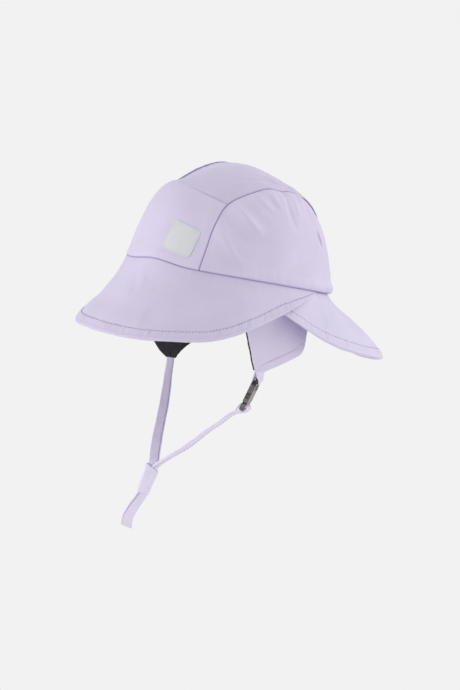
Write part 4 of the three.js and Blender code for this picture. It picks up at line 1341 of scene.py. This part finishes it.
def make_looks():
    groups = {"weave": weave_group(), "mottling": mottling_group(), "marks": marks_group()}
    return {
        "panel": cloth_look("panel_cloth", (0.66, 0.60, 0.77), groups),
        "top": cloth_look("crown_cloth", (0.62, 0.565, 0.73), groups),
        "brim": cloth_look("brim_cloth", (0.63, 0.575, 0.74), groups),
        "neck": cloth_look("neck_cloth", (0.66, 0.61, 0.77), groups),
        # the flap and strap cloth is made paler than the panels' as painted light, for the shade
        # they lie in under the hat
        "flap": cloth_look("flap_cloth", (0.73, 0.67, 0.84), groups),
        "strap": cloth_look("strap_cloth", (0.80, 0.74, 0.90), groups, spacing=0.0005, size=0.012),
        "thread": thread_look("sewing_thread", (0.27, 0.21, 0.40), groups),
        "pale_thread": thread_look("pale_sewing_thread", (0.44, 0.38, 0.58), groups),
        "fleece": fleece_look((0.014, 0.0125, 0.016), groups),
        "patch": patch_look((0.71, 0.722, 0.742), groups),
        "plastic": plastic_look(groups),
    }


# studio

# softboxes: how far each is to the camera's right, above and towards it in metres, and its sides
SOFTBOXES = {
    "softbox_right": {"right": 1.35, "up": 0.45, "toward": -0.15, "sides": (1.1, 1.3),
                      "power": 8.5},
    "softbox_left": {"right": -1.4, "up": 0.25, "toward": 0.05, "sides": (1.0, 1.3), "power": 7.5},
    "low_fill": {"right": -0.6, "up": -0.5, "toward": 1.5, "sides": (1.0, 0.8), "power": 4.5},
}
LIT = Vector((0, 0, -0.05))


def softbox(name, right, up, toward, sides, power):
    """Softbox aimed at the middle of the hat."""
    data = bpy.data.lights.new(name, "AREA")
    data.shape = "RECTANGLE"
    data.size, data.size_y = sides
    data.energy = power
    lamp = bpy.data.objects.new(name, data)
    ahead = Vector((sin(CAMERA_AZIMUTH), -cos(CAMERA_AZIMUTH), 0))
    across = Vector((cos(CAMERA_AZIMUTH), sin(CAMERA_AZIMUTH), 0))
    lamp.location = across * right + ahead * toward + Vector((0, 0, up))
    lamp.rotation_euler = (LIT - lamp.location).to_track_quat("-Z", "Y").to_euler()
    bpy.context.scene.collection.objects.link(lamp)


BACKGROUND, AMBIENT = 0.887, 0.78
FLOOR_SIDE, FLOOR_HEIGHT = 40000, -600
# distances in metres over which the floor takes the background's tone
FLOOR_FADE = (0.63, 0.76)


def make_studio():
    scene = bpy.context.scene
    scene.view_settings.view_transform = "Standard"
    world = bpy.data.worlds.new("studio")
    world.use_nodes = True
    tree = world.node_tree
    tree.nodes.clear()
    seen = add(tree, "Background", {"Color": (1, 1, 1, 1), "Strength": BACKGROUND})
    ambient = add(tree, "Background", {"Color": (0.98, 0.98, 1, 1), "Strength": AMBIENT})
    ray = add(tree, "LightPath")
    both = add(tree, "MixShader", {0: ray.outputs["Is Camera Ray"], 1: ambient.outputs[0],
                                   2: seen.outputs[0]})
    add(tree, "OutputWorld", {"Surface": both.outputs[0]})
    scene.world = world
    for name, box in SOFTBOXES.items():
        softbox(name, **box)
    make_floor()


def make_floor():
    """Plain pale floor well below the hat, which takes the background's tone further off."""
    side, low = FLOOR_SIDE, FLOOR_HEIGHT
    verts = [(-side, -side, low), (side, -side, low), (side, side, low), (-side, side, low)]
    floor = new_object("floor", mesh_from("floor", verts, [(0, 1, 2, 3)]))
    material, tree, shader = new_material("pale_floor")
    place = add(tree, "NewGeometry").outputs["Position"]
    length = add(tree, "VectorMath", {0: place}, operation="LENGTH").outputs["Value"]
    grain = noise(tree, place, 60.0, 3.0)
    base = mix(tree, grain, (0.78, 0.78, 0.78, 1), (0.82, 0.82, 0.82, 1))
    join(tree, shader, {"Base Color": base, "Roughness": 0.8})
    glow = add(tree, "Emission", {"Color": (1, 1, 1, 1), "Strength": BACKGROUND})
    ray = add(tree, "LightPath")
    far = spread(tree, length, *FLOOR_FADE)
    share = maths(tree, "MULTIPLY", far, ray.outputs["Is Camera Ray"], clamp=True)
    both = add(tree, "MixShader", {0: share, 1: shader.outputs[0], 2: glow.outputs[0]})
    join(tree, tree.nodes["Material Output"], {"Surface": both.outputs[0]})
    floor.data.materials.append(material)


# making

looks = make_looks()
make_crown(looks)
make_brim("front_brim", BRIM_CLOTH, looks["brim"], "brim_cloth", looks)
make_brim("neck_flap", NECK_CLOTH, looks["neck"], "panel_cloth", looks)
make_ears(looks)
make_patch(looks)
make_straps(looks)
for node in ("clip_socket", "clip_plug"):
    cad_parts[node].data.materials.clear()
    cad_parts[node].data.materials.append(looks["plastic"])
make_studio()
